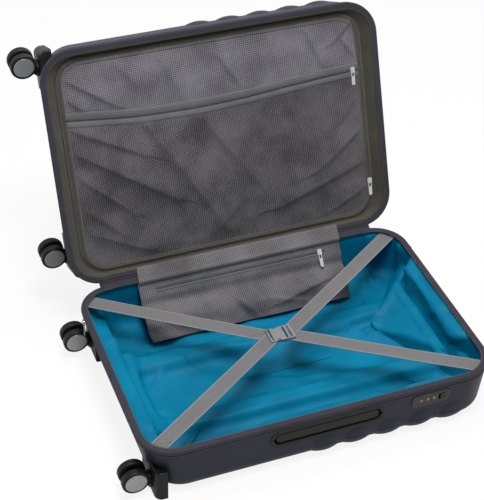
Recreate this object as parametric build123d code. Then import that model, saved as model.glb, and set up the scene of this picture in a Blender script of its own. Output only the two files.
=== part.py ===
from build123d import *
import os
from math import cos, degrees, atan2, hypot, radians, sin, sqrt

os.makedirs("parts", exist_ok=True)

# Shell sizes in millimetres, X along the case, Z up, the back shell lying on the floor
BODY_L = 680.0
BODY_W = 458.0
RIM_Z = 115.0
RIM_GAP = 1.0
CORNER_R = 65.0
EDGE_R = 30.0
WALL = 3.0
WHEEL_END_INSET = 24.0
SIDE_INSET = 6.0
OPEN_DEG = 112.5
HINGE_OUT = 3.0

# Clearances
FIT = 0.3
RUN_FIT = 0.06
PIN_FIT = 0.03
TAPE_FIT = 0.2

# Ribs on the handle half of both shells
RIB_H = 5.5
RIB_LAND = 0.5
RIB_HALF = 28.0
RIB_PITCH = 63.0
RIB_COUNT = 5

# Zip tape on the rim and the fabric hinge on the back
TAPE_T = 1.0
TAPE_H = 13.0
HINGE_MARGIN = 80.0
HINGE_BEAD_R = 2.7
HINGE_STRIP_T = 0.8

# Wheels and casters
WHEEL_R = 25.0
WHEEL_T = 14.0
WHEEL_REACH = 30.0
FORK_T = 9.0
FORK_SIDE_GAP = 0.5
SWIVEL_IN = 40.0
SWIVEL_Z = 24.0
TRAIL = 16.0
AXLE_R = 3.0
KINGPIN_R = 5.0
KINGPIN_L = 15.0
TURNTABLE_R = 16.0
TURNTABLE_T = 3.6
DISC_R = 19.7
DISC_T = 2.6
DISC_SEAT = 2.2
SPOKE_GAPS = 5
SPOKE_GAP_R = 4.4
HOUSING_SET = 18.0
HOUSING_DEPTH = 22.0
HOUSING_W = 80.0
HOUSING_H = 66.0
HOUSING_CORNER_R = 14.0
SCREW_R = 2.0
SCREW_HEAD_R = 4.0
SCREW_HEAD_T = 2.4
SCREW_GRIP = 9.0
SCREW_SPREAD = 34.0
SCREW_BELOW = 6.0
SCREW_ABOVE = 30.0

# Telescopic handle in the back shell
TUBE_Y = 85.0
TUBE_Z = 20.0
TUBE_W = 22.0
TUBE_H = 13.0
TUBE_WALL = 1.2
TUBE_CORNER_R = 4.0
TUBE_PLAY = 0.3
INNER_TUBE_L = 440.0
TROLLEY_TRAVEL = 330.0
BRACKET_L = 22.0
BEZEL_SET = 48.0
BEZEL_HALF = 112.0
BEZEL_TOP = 46.0
BEZEL_PROUD = 1.5
GRIP_SET = 34.0
GRIP_HALF = 98.0
GRIP_LOW = 10.5
GRIP_H = 20.5
GRIP_SOCKET = 8.0
FINGER_GAP = 10.5
BUTTON_L = 30.0
BUTTON_H = 11.0
BUTTON_DEPTH = 12.0
BUTTON_TRAVEL = 4.0
BUTTON_PROUD = 3.0

# Pull-out carry handles on the side and on the top end
HANDLE_Z = 79.0
TRAY_L = 214.0
TRAY_H = 36.0
TRAY_R = 16.0
TRAY_WALL = 4.0
TRAY_DEPTH = 24.0
TRAY_FLOOR = 2.5
TRAY_PROUD = 1.5
FLANGE_W = 3.0
FLANGE_T = 1.2
HANDLE_GAP = 3.0
HANDLE_T = 10.0
GRIP_SCOOP_L = 120.0
GRIP_SCOOP = 5.0
LUG_R = 2.4
LUG_L = 5.2
HANDLE_TRAVEL = 9.0

# Combination lock on the side
LOCK_X = 202.0
LOCK_Z = 84.0
LOCK_L = 78.0
LOCK_H = 30.0
LOCK_R = 12.0
LOCK_DEPTH = 22.0
LOCK_PROUD = 2.0
DIAL_R = 8.5
DIAL_T = 7.6
DIAL_PITCH = 13.0
DIAL_FIRST = -20.0
DIAL_COUNT = 3
DIAL_PROUD = 1.0
DIAL_NOTCHES = 10
DIAL_NOTCH_R = 0.9
SPINDLE_R = 2.0
LATCH_L = 11.0
LATCH_H = 14.0
LATCH_T = 4.0
LATCH_X = 25.0
LATCH_TRAVEL = 4.0

# Linings, panel and flap
LINING_GAP = 0.5
LINING_T = 1.0
LINING_TOP = 1.0
PANEL_INSET = 6.2
PANEL_SLOPE = 17.0
PANEL_DEPTH = 16.0
PANEL_T = 1.5
FLAP_HALF = 213.0
FLAP_HEM_R = 1.0
FLAP_HINGE_DOWN = 5.0
FLAP_RUN = 77.0
FLAP_FALL = 92.0
FLAP_T = 1.6
FLAP_WAVES = 7
FLAP_WAVE_H = 5.0

# Packing straps and their buckle
STRAP_W = 30.0
STRAP_T = 1.5
STRAP_TOP = 109.0
STRAP_LAYER_GAP = 0.5
STRAP_RISE = 0.65
BUCKLE_X = -4.0
BUCKLE_Y = -4.0
BUCKLE_HALF = 25.0
BUCKLE_W = 36.0
BUCKLE_T = 9.0
BUCKLE_WALL = 2.0
BUCKLE_BAR = 3.0
BUCKLE_SLOT = 4.0
PRONG_L = 17.0
PRONG_W = 5.0

# Zip sliders
SLIDER_L = 12.0
SLIDER_W = 9.0
SLIDER_T = 4.0
PULL_L = 26.0
PULL_W = 7.0
PULL_T = 1.6
PULL_DROP = 1.0
MAIN_SLIDER_BACK = 79.0
MAIN_SLIDER_DOWN = 15.0
EDGE_SLIDER_BACK = 89.0
EDGE_SLIDER_IN = 9.0
POCKET_SLIDER_SIDE = 44.0
POCKET_ZIP_FRONT = 137.0
FLAP_SLIDER_SIDE = 46.0
FLAP_SLIDER_RUN = 18.0

# Derived places
SHELL_IN = TAPE_T + TAPE_FIT
FACE_Z = RIB_H - SHELL_IN
HINGE_Y = BODY_W / 2 + HINGE_OUT
HINGE_Z = RIM_Z + RIM_GAP / 2
HINGE_AXIS = Axis((0, HINGE_Y, HINGE_Z), (1, 0, 0))
HINGE_LEN = BODY_L - 2 * HINGE_MARGIN
HOUSING_X = HOUSING_SET - BODY_L / 2
WHEEL_X = HOUSING_X - WHEEL_REACH
SWIVEL_Y = BODY_W / 2 - SWIVEL_IN
BEZEL_BACK = BODY_L / 2 - BEZEL_SET
GRIP_BACK = BODY_L / 2 - GRIP_SET
MAIN_SLIDER_Y = BODY_W / 2 - MAIN_SLIDER_BACK
EDGE_SLIDER_Y = BODY_W / 2 - EDGE_SLIDER_BACK
POCKET_SLIDER_X = BODY_L / 2 - POCKET_SLIDER_SIDE
POCKET_ZIP_Y = POCKET_ZIP_FRONT - BODY_W / 2
FLAP_SLIDER_X = FLAP_HALF - FLAP_SLIDER_SIDE
HOUSING_BACK = HOUSING_X + HOUSING_DEPTH
LEDGE_X = HOUSING_BACK + FIT + WALL + SCREW_HEAD_T + 2 * FIT
DRAFT = SIDE_INSET / (RIM_Z - FACE_Z)


def box(x0, x1, y0, y1, z0, z1):
    """A plain block between two corners."""
    size = Box(x1 - x0, y1 - y0, z1 - z0)
    return Pos((x0 + x1) / 2, (y0 + y1) / 2, (z0 + z1) / 2) * size


def tub(inset):
    """The solid form of the back half, moved in by a distance from the rim outline."""
    rim_r = CORNER_R - inset
    rim = Plane.XY.offset(RIM_Z) * RectangleRounded(BODY_L - 2 * inset, BODY_W - 2 * inset, rim_r)
    face_l = BODY_L - WHEEL_END_INSET - SIDE_INSET - 2 * inset
    face_w = BODY_W - 2 * SIDE_INSET - 2 * inset
    face_x = (WHEEL_END_INSET - SIDE_INSET) / 2
    face = Pos(face_x, 0, FACE_Z + inset) * RectangleRounded(face_l, face_w, rim_r)
    form = loft([rim, face], ruled=True)
    return fillet(form.edges().group_by(Axis.Z)[0], EDGE_R - inset)


def ribs():
    """Broad round ribs that cross the face and wrap up both side walls."""
    rise = RIB_H + RIB_LAND
    radius = (rise**2 + RIB_HALF**2) / (2 * rise)
    bend_r = EDGE_R - SHELL_IN
    bend_y = BODY_W / 2 - SIDE_INSET - SHELL_IN - bend_r
    bend_z = RIB_H + bend_r
    centre_z = radius - RIB_LAND
    chord_z = RIB_H + 1.0
    half = sqrt(radius**2 - (centre_z - chord_z) ** 2)
    crest = ThreePointArc((-half, chord_z), (0, -RIB_LAND), (half, chord_z))
    outline = make_face([crest, Line((half, chord_z), (-half, chord_z))])
    section = Plane(origin=(0, -bend_y, 0), x_dir=(1, 0, 0), z_dir=(0, -1, 0)) * outline
    run = extrude(section, amount=-2 * bend_y)
    turn_deg = 90 - degrees(atan2(SIDE_INSET, RIM_Z - FACE_Z))
    turn = revolve(section, Axis((0, -bend_y, bend_z), (1, 0, 0)), -turn_deg)
    lean = centre_z - bend_z
    end_y = -bend_y + lean * sin(radians(turn_deg))
    end_z = bend_z + lean * cos(radians(turn_deg))
    end = Pos(0, end_y, end_z) * Sphere(radius)
    end = end & box(-radius, radius, end_y - radius, -bend_y, bend_z - 1.0, end_z + radius)
    side = turn + end
    one = run + side + mirror(side, about=Plane.XZ)
    return [Pos(k * RIB_PITCH, 0, 0) * one for k in range(RIB_COUNT)]


def wall_y(z):
    """Outer face of the side wall of the shell at a height."""
    return -(BODY_W / 2 - SHELL_IN - (RIM_Z - z) * DRAFT)


def wall_x(z):
    """Outer face of the handle end wall of the shell at a height."""
    return BODY_L / 2 - SHELL_IN - (RIM_Z - z) * DRAFT


def lifted(shape):
    """Mirror a back half form to the front half, then swing it open with the lid."""
    closed = mirror(shape, about=Plane.XY.offset(HINGE_Z))
    return closed.rotate(HINGE_AXIS, -OPEN_DEG)


def lifted_point(y, z):
    """Where a point of the back half lands on the open lid, in Y and Z."""
    dy = y - HINGE_Y
    dz = HINGE_Z - z
    c = cos(radians(OPEN_DEG))
    s = sin(radians(OPEN_DEG))
    return HINGE_Y + dy * c + dz * s, HINGE_Z - dy * s + dz * c


def housing_block(side, grow):
    """The block that a wheel housing fills, on the front or the hinge side."""
    outer = BODY_W / 2 - SHELL_IN - 1.5
    y0 = outer - HOUSING_W - grow
    y1 = outer + grow
    block = box(HOUSING_X - grow, HOUSING_BACK + grow, y0, y1, 0 - grow, HOUSING_H + grow)
    upright = block.edges().filter_by(Axis.Z).sort_by(Axis.X)[:2].sort_by(Axis.Y)[-1]
    block = fillet(upright, HOUSING_CORNER_R + grow)
    return block if side > 0 else mirror(block, about=Plane.XZ)


def screw_spots(side):
    """Centres of the three screws of one wheel housing, in Y and Z."""
    inner = SWIVEL_Y - SCREW_SPREAD
    low = SWIVEL_Z - SCREW_BELOW
    high = SWIVEL_Z + SCREW_ABOVE
    return [(side * inner, low), (side * inner, high), (side * SWIVEL_Y, high)]


def rod_x(x0, x1, y, z, r):
    """A round bar along X."""
    bar = Cylinder(r, x1 - x0, rotation=(0, 90, 0))
    return Pos((x0 + x1) / 2, y, z) * bar


def rod_y(x, y0, y1, z, r):
    """A round bar along Y."""
    bar = Cylinder(r, y1 - y0, rotation=(90, 0, 0))
    return Pos(x, (y0 + y1) / 2, z) * bar


def save(shape, node):
    """Write one node."""
    shape.label = node
    export_step(shape, "parts/" + node + ".step")


def group(solids):
    """Several separate solids that share one node."""
    return Compound(children=list(solids))


# Wheel housings with the bore for the caster pin and the screw holes
def housing(side):
    body = housing_block(side, 0)
    rounded = body.edges().filter_by(Axis.Y).sort_by(Axis.X)[:2]
    body = fillet(rounded, 4.0)
    bore = rod_x(HOUSING_X - 1, HOUSING_X + KINGPIN_L + 1.0, side * SWIVEL_Y, SWIVEL_Z, KINGPIN_R + RUN_FIT)
    body = body - bore
    for y, z in screw_spots(side):
        body = body - rod_x(HOUSING_BACK - SCREW_GRIP - 1.0, HOUSING_BACK + 1, y, z, SCREW_R + PIN_FIT)
    return body


housings = [housing(-1), housing(1)]
save(group(housings), "base_wheel_housings")
save(group([lifted(h) for h in housings]), "lid_wheel_housings")


# Screws that hold the housings through the moulded recess wall
def housing_screw(y, z):
    under = HOUSING_BACK + FIT + WALL
    shank = rod_x(HOUSING_BACK - SCREW_GRIP, under, y, z, SCREW_R)
    head = rod_x(under, under + SCREW_HEAD_T, y, z, SCREW_HEAD_R)
    slot = box(under + 1.4, under + SCREW_HEAD_T + 1, y - 2.6, y + 2.6, z - 0.5, z + 0.5)
    cross = box(under + 1.4, under + SCREW_HEAD_T + 1, y - 0.5, y + 0.5, z - 2.6, z + 2.6)
    return shank + head - slot - cross


screws = [housing_screw(y, z) for side in (-1, 1) for y, z in screw_spots(side)]
save(group(screws), "base_housing_screws")
save(group([lifted(s) for s in screws]), "lid_housing_screws")

# Moulded shells
outer_form = tub(SHELL_IN)
for rib in ribs():
    outer_form = outer_form + rib
outer_form = outer_form & box(-BODY_L, BODY_L, -BODY_W, BODY_W, 0, RIM_Z)
recess_out = housing_block(-1, FIT + WALL) + housing_block(1, FIT + WALL)
recess_in = housing_block(-1, FIT) + housing_block(1, FIT)
cavity = tub(SHELL_IN + WALL) - recess_out
plain_shell = outer_form - cavity - recess_in
for side in (-1, 1):
    for y, z in screw_spots(side):
        plain_shell = plain_shell - rod_x(HOUSING_BACK - 1, LEDGE_X, y, z, SCREW_R + FIT)
save(lifted(plain_shell), "lid_shell")


# Carry handle that pulls out of a tray, drawn with its outside facing -Y at y = 0
def tray_form(grow, y0, y1):
    face = RectangleRounded(TRAY_L + 2 * grow, TRAY_H + 2 * grow, TRAY_R + grow)
    plane = Plane(origin=(0, y0, 0), x_dir=(1, 0, 0), z_dir=(0, 1, 0))
    return extrude(plane * face, amount=y1 - y0)


def tray():
    rim = tray_form(FLANGE_W, -TRAY_PROUD, -TRAY_PROUD + FLANGE_T)
    body = rim + tray_form(0, -TRAY_PROUD, TRAY_DEPTH)
    body = body - tray_form(-TRAY_WALL, -TRAY_PROUD - 1, TRAY_DEPTH - TRAY_FLOOR)
    half = TRAY_L / 2
    lug_y = HANDLE_T - LUG_R - 0.6
    for end in (-1, 1):
        x0 = end * (half - TRAY_WALL - 1)
        x1 = end * (half - TRAY_WALL + LUG_L - HANDLE_GAP + FIT)
        track = box(min(x0, x1), max(x0, x1), lug_y - HANDLE_TRAVEL, lug_y, -LUG_R - FIT, LUG_R + FIT)
        ends = Rot(0, 90, 0) * Cylinder(LUG_R + FIT, abs(x1 - x0))
        track = track + Pos((x0 + x1) / 2, lug_y, 0) * ends
        track = track + Pos((x0 + x1) / 2, lug_y - HANDLE_TRAVEL, 0) * ends
        body = body - track
    return body


def pull_handle():
    bar = tray_form(-TRAY_WALL - HANDLE_GAP, 0, HANDLE_T)
    bar = fillet(bar.edges().group_by(Axis.Y)[0], 3.0)
    bar = bar - box(-GRIP_SCOOP_L / 2, GRIP_SCOOP_L / 2, HANDLE_T - GRIP_SCOOP, HANDLE_T + 1, -TRAY_H, TRAY_H)
    sharp = bar.edges().filter_by(Axis.Z).filter_by(lambda e: abs(abs(e.center().X) - GRIP_SCOOP_L / 2) < 0.1)
    bar = fillet(sharp, 2.0)
    half = TRAY_L / 2 - TRAY_WALL - HANDLE_GAP
    lug_y = HANDLE_T - LUG_R - 0.6
    for end in (-1, 1):
        x0 = end * (half - 3)
        x1 = end * (half + LUG_L)
        bar = bar + rod_x(min(x0, x1), max(x0, x1), lug_y, 0, LUG_R)
    return bar


def on_side(shape):
    return Pos(0, wall_y(HANDLE_Z), HANDLE_Z) * shape


def on_end(shape):
    return Pos(wall_x(HANDLE_Z), 0, HANDLE_Z) * Rot(0, 0, 90) * shape


save(group([on_side(tray()), on_end(tray())]), "handle_trays")
save(on_side(pull_handle()), "side_handle")
save(on_end(pull_handle()), "top_handle")
tray_hole = tray_form(FIT, -20, TRAY_DEPTH + 5)
tray_rebate = tray_form(FLANGE_W + FIT, -20, -TRAY_PROUD + FLANGE_T + FIT)


# Combination lock, drawn in place on the side wall
def lock_form(grow, y0, y1):
    face = RectangleRounded(LOCK_L + 2 * grow, LOCK_H + 2 * grow, LOCK_R + grow)
    plane = Plane(origin=(LOCK_X, y0, LOCK_Z), x_dir=(1, 0, 0), z_dir=(0, 1, 0))
    return extrude(plane * face, amount=y1 - y0)


lock_face = wall_y(LOCK_Z) - LOCK_PROUD
dial_y = lock_face + DIAL_R - DIAL_PROUD
dial_xs = [LOCK_X + DIAL_FIRST + k * DIAL_PITCH for k in range(DIAL_COUNT)]
case = lock_form(0, lock_face, lock_face + LOCK_DEPTH)
case = fillet(case.edges().group_by(Axis.Y)[0], 1.2)
for x in dial_xs:
    half = DIAL_T / 2 + FIT
    room = rod_x(x - half, x + half, dial_y, LOCK_Z, DIAL_R + FIT)
    room = room - rod_x(x - half, x + half, dial_y, LOCK_Z, SPINDLE_R)
    case = case - room
latch_x0 = LOCK_X + LATCH_X - LATCH_L / 2
latch_x1 = LOCK_X + LATCH_X + LATCH_L / 2
pocket_y1 = lock_face + LATCH_T
case = case - box(
    latch_x0 - FIT - LATCH_TRAVEL,
    latch_x1 + FIT,
    lock_face - 1,
    pocket_y1 + FIT,
    LOCK_Z - LATCH_H / 2 - FIT,
    LOCK_Z + LATCH_H / 2 + FIT,
)
save(case, "lock_case")
for k, x in enumerate(dial_xs):
    dial = rod_x(x - DIAL_T / 2, x + DIAL_T / 2, dial_y, LOCK_Z, DIAL_R)
    dial = dial - rod_x(x - DIAL_T, x + DIAL_T, dial_y, LOCK_Z, SPINDLE_R + RUN_FIT)
    for n in range(DIAL_NOTCHES):
        turn = radians((n + 0.5) * 360 / DIAL_NOTCHES)
        ny = dial_y + DIAL_R * cos(turn)
        nz = LOCK_Z + DIAL_R * sin(turn)
        dial = dial - rod_x(x - DIAL_T, x + DIAL_T, ny, nz, DIAL_NOTCH_R)
    save(dial, "lock_dial_" + str(k + 1))
latch = box(latch_x0, latch_x1, lock_face - 0.8, pocket_y1, LOCK_Z - LATCH_H / 2, LOCK_Z + LATCH_H / 2)
for k in range(3):
    gx = latch_x0 + (k + 1) * LATCH_L / 4
    latch = latch - box(gx - 0.6, gx + 0.6, lock_face - 2, lock_face, LOCK_Z - 5, LOCK_Z + 5)
save(latch, "lock_latch")

# Telescopic handle: bezel, tubes, foot bracket, grip and button
tube_face = RectangleRounded(TUBE_W, TUBE_H, TUBE_CORNER_R)
bore_face = RectangleRounded(TUBE_W - 2 * TUBE_WALL, TUBE_H - 2 * TUBE_WALL, TUBE_CORNER_R - TUBE_WALL)
slim = 2 * TUBE_WALL + 2 * TUBE_PLAY
slide_r = TUBE_CORNER_R - slim / 2
slide_face = RectangleRounded(TUBE_W - slim, TUBE_H - slim, slide_r)
slide_bore = RectangleRounded(TUBE_W - slim - 2 * TUBE_WALL, TUBE_H - slim - 2 * TUBE_WALL, slide_r - TUBE_WALL)


def along_x(face, x0, x1, y):
    plane = Plane(origin=(x0, y, TUBE_Z), x_dir=(0, 1, 0), z_dir=(1, 0, 0))
    return extrude(plane * face, amount=x1 - x0)


bracket_x = LEDGE_X + 2.0
tube_x0 = bracket_x + 4.0
tube_x1 = BEZEL_BACK + 6.0
outer_tubes = [along_x(tube_face, tube_x0, tube_x1, s * TUBE_Y) for s in (-1, 1)]
outer_tubes = [t - along_x(bore_face, tube_x0 - 1, tube_x1 + 1, s * TUBE_Y) for t, s in zip(outer_tubes, (-1, 1))]
save(group(outer_tubes), "trolley_outer_tubes")

floor_z = FACE_Z + SHELL_IN + WALL + FIT
bracket_half = TUBE_Y + TUBE_W / 2 + 8
bracket = box(bracket_x, bracket_x + BRACKET_L, -bracket_half, bracket_half, floor_z, TUBE_Z + TUBE_H / 2 + 4)
bracket = fillet(bracket.edges().group_by(Axis.Z)[-1], 3.0)
grown_tube = RectangleRounded(TUBE_W + 2 * PIN_FIT, TUBE_H + 2 * PIN_FIT, TUBE_CORNER_R + PIN_FIT)
for s in (-1, 1):
    bracket = bracket - along_x(grown_tube, tube_x0, bracket_x + BRACKET_L + 1, s * TUBE_Y)
bracket = bracket - box(bracket_x - 1, bracket_x + BRACKET_L + 1, -50, 50, TUBE_Z - 4, TUBE_Z + TUBE_H)
save(bracket, "trolley_foot_bracket")

contour = tub(SHELL_IN - BEZEL_PROUD)
bezel_block = box(BEZEL_BACK, BODY_L, -BEZEL_HALF, BEZEL_HALF, -20, BEZEL_TOP)
bezel = contour & bezel_block
recess_top = GRIP_LOW + GRIP_H + FINGER_GAP
recess_half = GRIP_HALF + 3.0
bezel = bezel - box(GRIP_BACK - FIT, BODY_L, -recess_half, recess_half, GRIP_LOW - 2.0, recess_top)
for s in (-1, 1):
    bezel = bezel - along_x(grown_tube, BEZEL_BACK - 1, tube_x1, s * TUBE_Y)
    bezel = bezel - along_x(bore_face, BEZEL_BACK - 1, GRIP_BACK, s * TUBE_Y)
save(bezel, "trolley_bezel")

tube_end = GRIP_BACK + GRIP_SOCKET
inner_tubes = []
for s in (-1, 1):
    tube = along_x(slide_face, tube_end - INNER_TUBE_L, tube_end, s * TUBE_Y)
    inner_tubes.append(tube - along_x(slide_bore, tube_end - INNER_TUBE_L - 1, tube_end + 1, s * TUBE_Y))
save(group(inner_tubes), "trolley_inner_tubes")

grip = tub(SHELL_IN) & box(GRIP_BACK, BODY_L, -GRIP_HALF, GRIP_HALF, GRIP_LOW, GRIP_LOW + GRIP_H)
grip = fillet(grip.edges().filter_by(Axis.Y).group_by(Axis.X)[0], 3.0)
for s in (-1, 1):
    socket = RectangleRounded(TUBE_W - slim + 2 * PIN_FIT, TUBE_H - slim + 2 * PIN_FIT, slide_r + PIN_FIT)
    grip = grip - along_x(socket, GRIP_BACK - 1, tube_end + PIN_FIT, s * TUBE_Y)
grip_z = GRIP_LOW + GRIP_H / 2
button_x1 = wall_x(GRIP_LOW + GRIP_H) + BUTTON_PROUD - 2.0
button_x0 = button_x1 - BUTTON_DEPTH
well_x0 = button_x0 - BUTTON_TRAVEL - FIT
button = box(
    button_x0, button_x1, -BUTTON_L / 2, BUTTON_L / 2, grip_z - BUTTON_H / 2 + 2, grip_z + BUTTON_H / 2 + 2
)
button = fillet(button.edges().group_by(Axis.X)[-1], 1.5)
grip = grip - box(
    well_x0,
    BODY_L,
    -BUTTON_L / 2 - FIT,
    BUTTON_L / 2 + FIT,
    grip_z - BUTTON_H / 2 + 2 - FIT,
    grip_z + BUTTON_H / 2 + 2 + FIT,
)
save(grip, "trolley_grip")
save(button, "trolley_button")

# Back shell with the openings for the handles, the lock and the bezel
base_shell = plain_shell - on_side(tray_hole) - on_end(tray_hole)
base_shell = base_shell - on_side(tray_rebate) - on_end(tray_rebate)
base_shell = base_shell - lock_form(FIT, lock_face - 20, lock_face + LOCK_DEPTH + 5)
bezel_hole = box(BEZEL_BACK - FIT, BODY_L, -BEZEL_HALF - FIT, BEZEL_HALF + FIT, -20, BEZEL_TOP + FIT)
base_shell = base_shell - bezel_hole
save(base_shell, "base_shell")

# Zip tape around three sides of each rim
tape = tub(0) - tub(TAPE_T)
tape = tape & box(-BODY_L, BODY_L, -BODY_W, BODY_W, RIM_Z - TAPE_H, RIM_Z - FIT)
tape = tape - box(-HINGE_LEN / 2, HINGE_LEN / 2, 0, BODY_W, 0, RIM_Z + 1)
save(tape, "base_zip_tape")
leaf_y = BODY_W / 2 - SHELL_IN + FIT
leaf = box(1 - HINGE_LEN / 2, HINGE_LEN / 2 - 1, leaf_y, leaf_y + HINGE_STRIP_T, RIM_Z - TAPE_H, RIM_Z)
save(group([lifted(tape), lifted(leaf)]), "lid_zip_tape")

# Fabric hinge: a strip on the back wall that ends in a round piping on the hinge axis
strip_y = BODY_W / 2 - SHELL_IN + FIT
strip_half = HINGE_LEN / 2 - 1.0
strip = box(-strip_half, strip_half, strip_y, strip_y + HINGE_STRIP_T, RIM_Z - TAPE_H, HINGE_Z)
bridge = box(-strip_half, strip_half, strip_y, HINGE_Y, HINGE_Z - HINGE_STRIP_T, HINGE_Z)
piping = rod_x(-strip_half, strip_half, HINGE_Y, HINGE_Z, HINGE_BEAD_R)
strip = strip + bridge + piping
save(strip, "hinge_strip")


# Linings: thin tubs that clear everything that stands into the shells
def lining(blocks):
    skins = []
    for inset in (LINING_GAP, LINING_GAP + LINING_T):
        form = tub(SHELL_IN + WALL + inset)
        form = form - box(-BODY_L, LEDGE_X + inset, -BODY_W, BODY_W, -20, HOUSING_H + FIT + WALL + inset)
        for x0, x1, y0, y1, z0, z1 in blocks:
            form = form - box(x0 - inset, x1 + inset, y0 - inset, y1 + inset, z0, z1 + inset)
        skins.append(form)
    skin = skins[0] - skins[1]
    return skin & box(-BODY_L, BODY_L, -BODY_W, BODY_W, -20, RIM_Z - LINING_TOP)


half_w = BODY_W / 2
tube_top = TUBE_Z + TUBE_H / 2
bracket_top = TUBE_Z + TUBE_H / 2 + 4
tray_in = wall_y(HANDLE_Z) + TRAY_DEPTH
end_in = wall_x(HANDLE_Z) - TRAY_DEPTH
hand_low = HANDLE_Z - TRAY_H / 2
hand_top = HANDLE_Z + TRAY_H / 2
lock_in = lock_face + LOCK_DEPTH
standing = [
    (-BODY_L, BODY_L, -TUBE_Y - TUBE_W / 2 - 1, -TUBE_Y + TUBE_W / 2 + 1, -20, tube_top),
    (-BODY_L, BODY_L, TUBE_Y - TUBE_W / 2 - 1, TUBE_Y + TUBE_W / 2 + 1, -20, tube_top),
    (-BODY_L, bracket_x + BRACKET_L, -bracket_half, bracket_half, -20, bracket_top),
    (BEZEL_BACK, BODY_L, -BEZEL_HALF - 1, BEZEL_HALF + 1, -20, BEZEL_TOP),
    (-TRAY_L / 2, TRAY_L / 2, -BODY_W, tray_in, hand_low, hand_top),
    (end_in, BODY_L, -TRAY_L / 2, TRAY_L / 2, hand_low, hand_top),
    (LOCK_X - LOCK_L / 2, LOCK_X + LOCK_L / 2, -BODY_W, lock_in, LOCK_Z - LOCK_H / 2, LOCK_Z + LOCK_H / 2),
]
save(lining(standing), "base_lining")
save(lifted(lining([])), "lid_lining")


# Divider panel of the lid: a flat cloth panel with a sloping border, sewn along the hinge side
def panel_form(drop):
    rim_z = RIM_Z - FIT
    top_l = BODY_L - 2 * PANEL_INSET
    top_w = BODY_W - 2 * PANEL_INSET
    low_l = top_l - 2 * PANEL_SLOPE
    low_w = top_w - 2 * PANEL_SLOPE
    top_r = CORNER_R - PANEL_INSET
    top = Plane.XY.offset(rim_z - drop) * RectangleRounded(top_l, top_w, top_r)
    low = Plane.XY.offset(rim_z - PANEL_DEPTH - drop) * RectangleRounded(low_l, low_w, top_r)
    return loft([top, low], ruled=True)


panel = panel_form(PANEL_T) - panel_form(0)
save(lifted(panel), "lid_panel")

# Pocket flap at the hinge: top edge straight, lower part in broad folds
lining_in = SHELL_IN + WALL + LINING_GAP + LINING_T
flap_z = RIM_Z - FLAP_HINGE_DOWN
flap_y = BODY_W / 2 - lining_in - FLAP_HINGE_DOWN * DRAFT - FLAP_HEM_R - FIT
flap_len = hypot(FLAP_RUN, FLAP_FALL)
down = (0, -FLAP_RUN / flap_len, -FLAP_FALL / flap_len)
flap_plane = Plane(origin=(0, flap_y, flap_z), x_dir=(1, 0, 0), z_dir=down)


def flap_section(dist, height):
    """One cross section of the cloth, made of equal arcs that bend one way and the other."""
    step = 2 * FLAP_HALF / FLAP_WAVES
    edges = []
    for k in range(FLAP_WAVES):
        x0 = -FLAP_HALF + k * step
        bow = height if k % 2 == 0 else -height
        edges.append(ThreePointArc((x0, 0), (x0 + step / 2, bow), (x0 + step, 0)))
    edges.append(Line((FLAP_HALF, 0), (FLAP_HALF, FLAP_T)))
    for k in reversed(range(FLAP_WAVES)):
        x0 = -FLAP_HALF + k * step
        bow = height if k % 2 == 0 else -height
        edges.append(ThreePointArc((x0 + step, FLAP_T), (x0 + step / 2, bow + FLAP_T), (x0, FLAP_T)))
    edges.append(Line((-FLAP_HALF, FLAP_T), (-FLAP_HALF, 0)))
    return flap_plane.offset(dist) * make_face(edges)


flap_sections = [
    flap_section(0, 0.2),
    flap_section(flap_len * 0.3, 0.2),
    flap_section(flap_len * 0.7, FLAP_WAVE_H * 0.6),
    flap_section(flap_len, FLAP_WAVE_H),
]
flap = loft(flap_sections, ruled=True)
hem = flap_plane.location * Cylinder(FLAP_HEM_R, 2 * FLAP_HALF, rotation=(0, 90, 0))
flap = flap + hem
save(flap, "pocket_flap")


# Packing straps from the four corners to the buckle
def strap(x0, y0, x1, y1, top):
    run = hypot(x1 - x0, y1 - y0)
    turn = degrees(atan2(y1 - y0, x1 - x0))
    band = Box(run, STRAP_W, STRAP_T)
    return Pos((x0 + x1) / 2, (y0 + y1) / 2, top - STRAP_T / 2) * Rot(0, 0, turn) * band


buckle_x0 = BUCKLE_X - BUCKLE_HALF
buckle_x1 = BUCKLE_X + BUCKLE_HALF
low_top = STRAP_TOP - STRAP_T - STRAP_LAYER_GAP
reach = STRAP_W / 2 * sin(atan2(STRAP_RISE, 1)) + 1.0
left_end = buckle_x0 - reach
right_end = buckle_x1 + reach
below_rim = RIM_Z - low_top + STRAP_T
corner_in = CORNER_R - lining_in - below_rim * DRAFT - FIT
corner_run = sqrt(corner_in**2 - (STRAP_W / 2) ** 2)
away = hypot(1, STRAP_RISE)
strap_x = BODY_L / 2 - CORNER_R + corner_run / away
strap_y = BODY_W / 2 - CORNER_R + corner_run * STRAP_RISE / away
wheel_end_x = strap_x - below_rim * WHEEL_END_INSET / (RIM_Z - FACE_Z)
left = [
    strap(-wheel_end_x, -strap_y, left_end, BUCKLE_Y - 4, STRAP_TOP),
    strap(-wheel_end_x, strap_y, left_end, BUCKLE_Y + 4, low_top),
]
right = [
    strap(strap_x, strap_y, right_end, BUCKLE_Y + 4, STRAP_TOP),
    strap(strap_x, -strap_y, right_end, BUCKLE_Y - 4, low_top),
]
save(group(left), "left_straps")
save(group(right), "right_straps")

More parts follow.
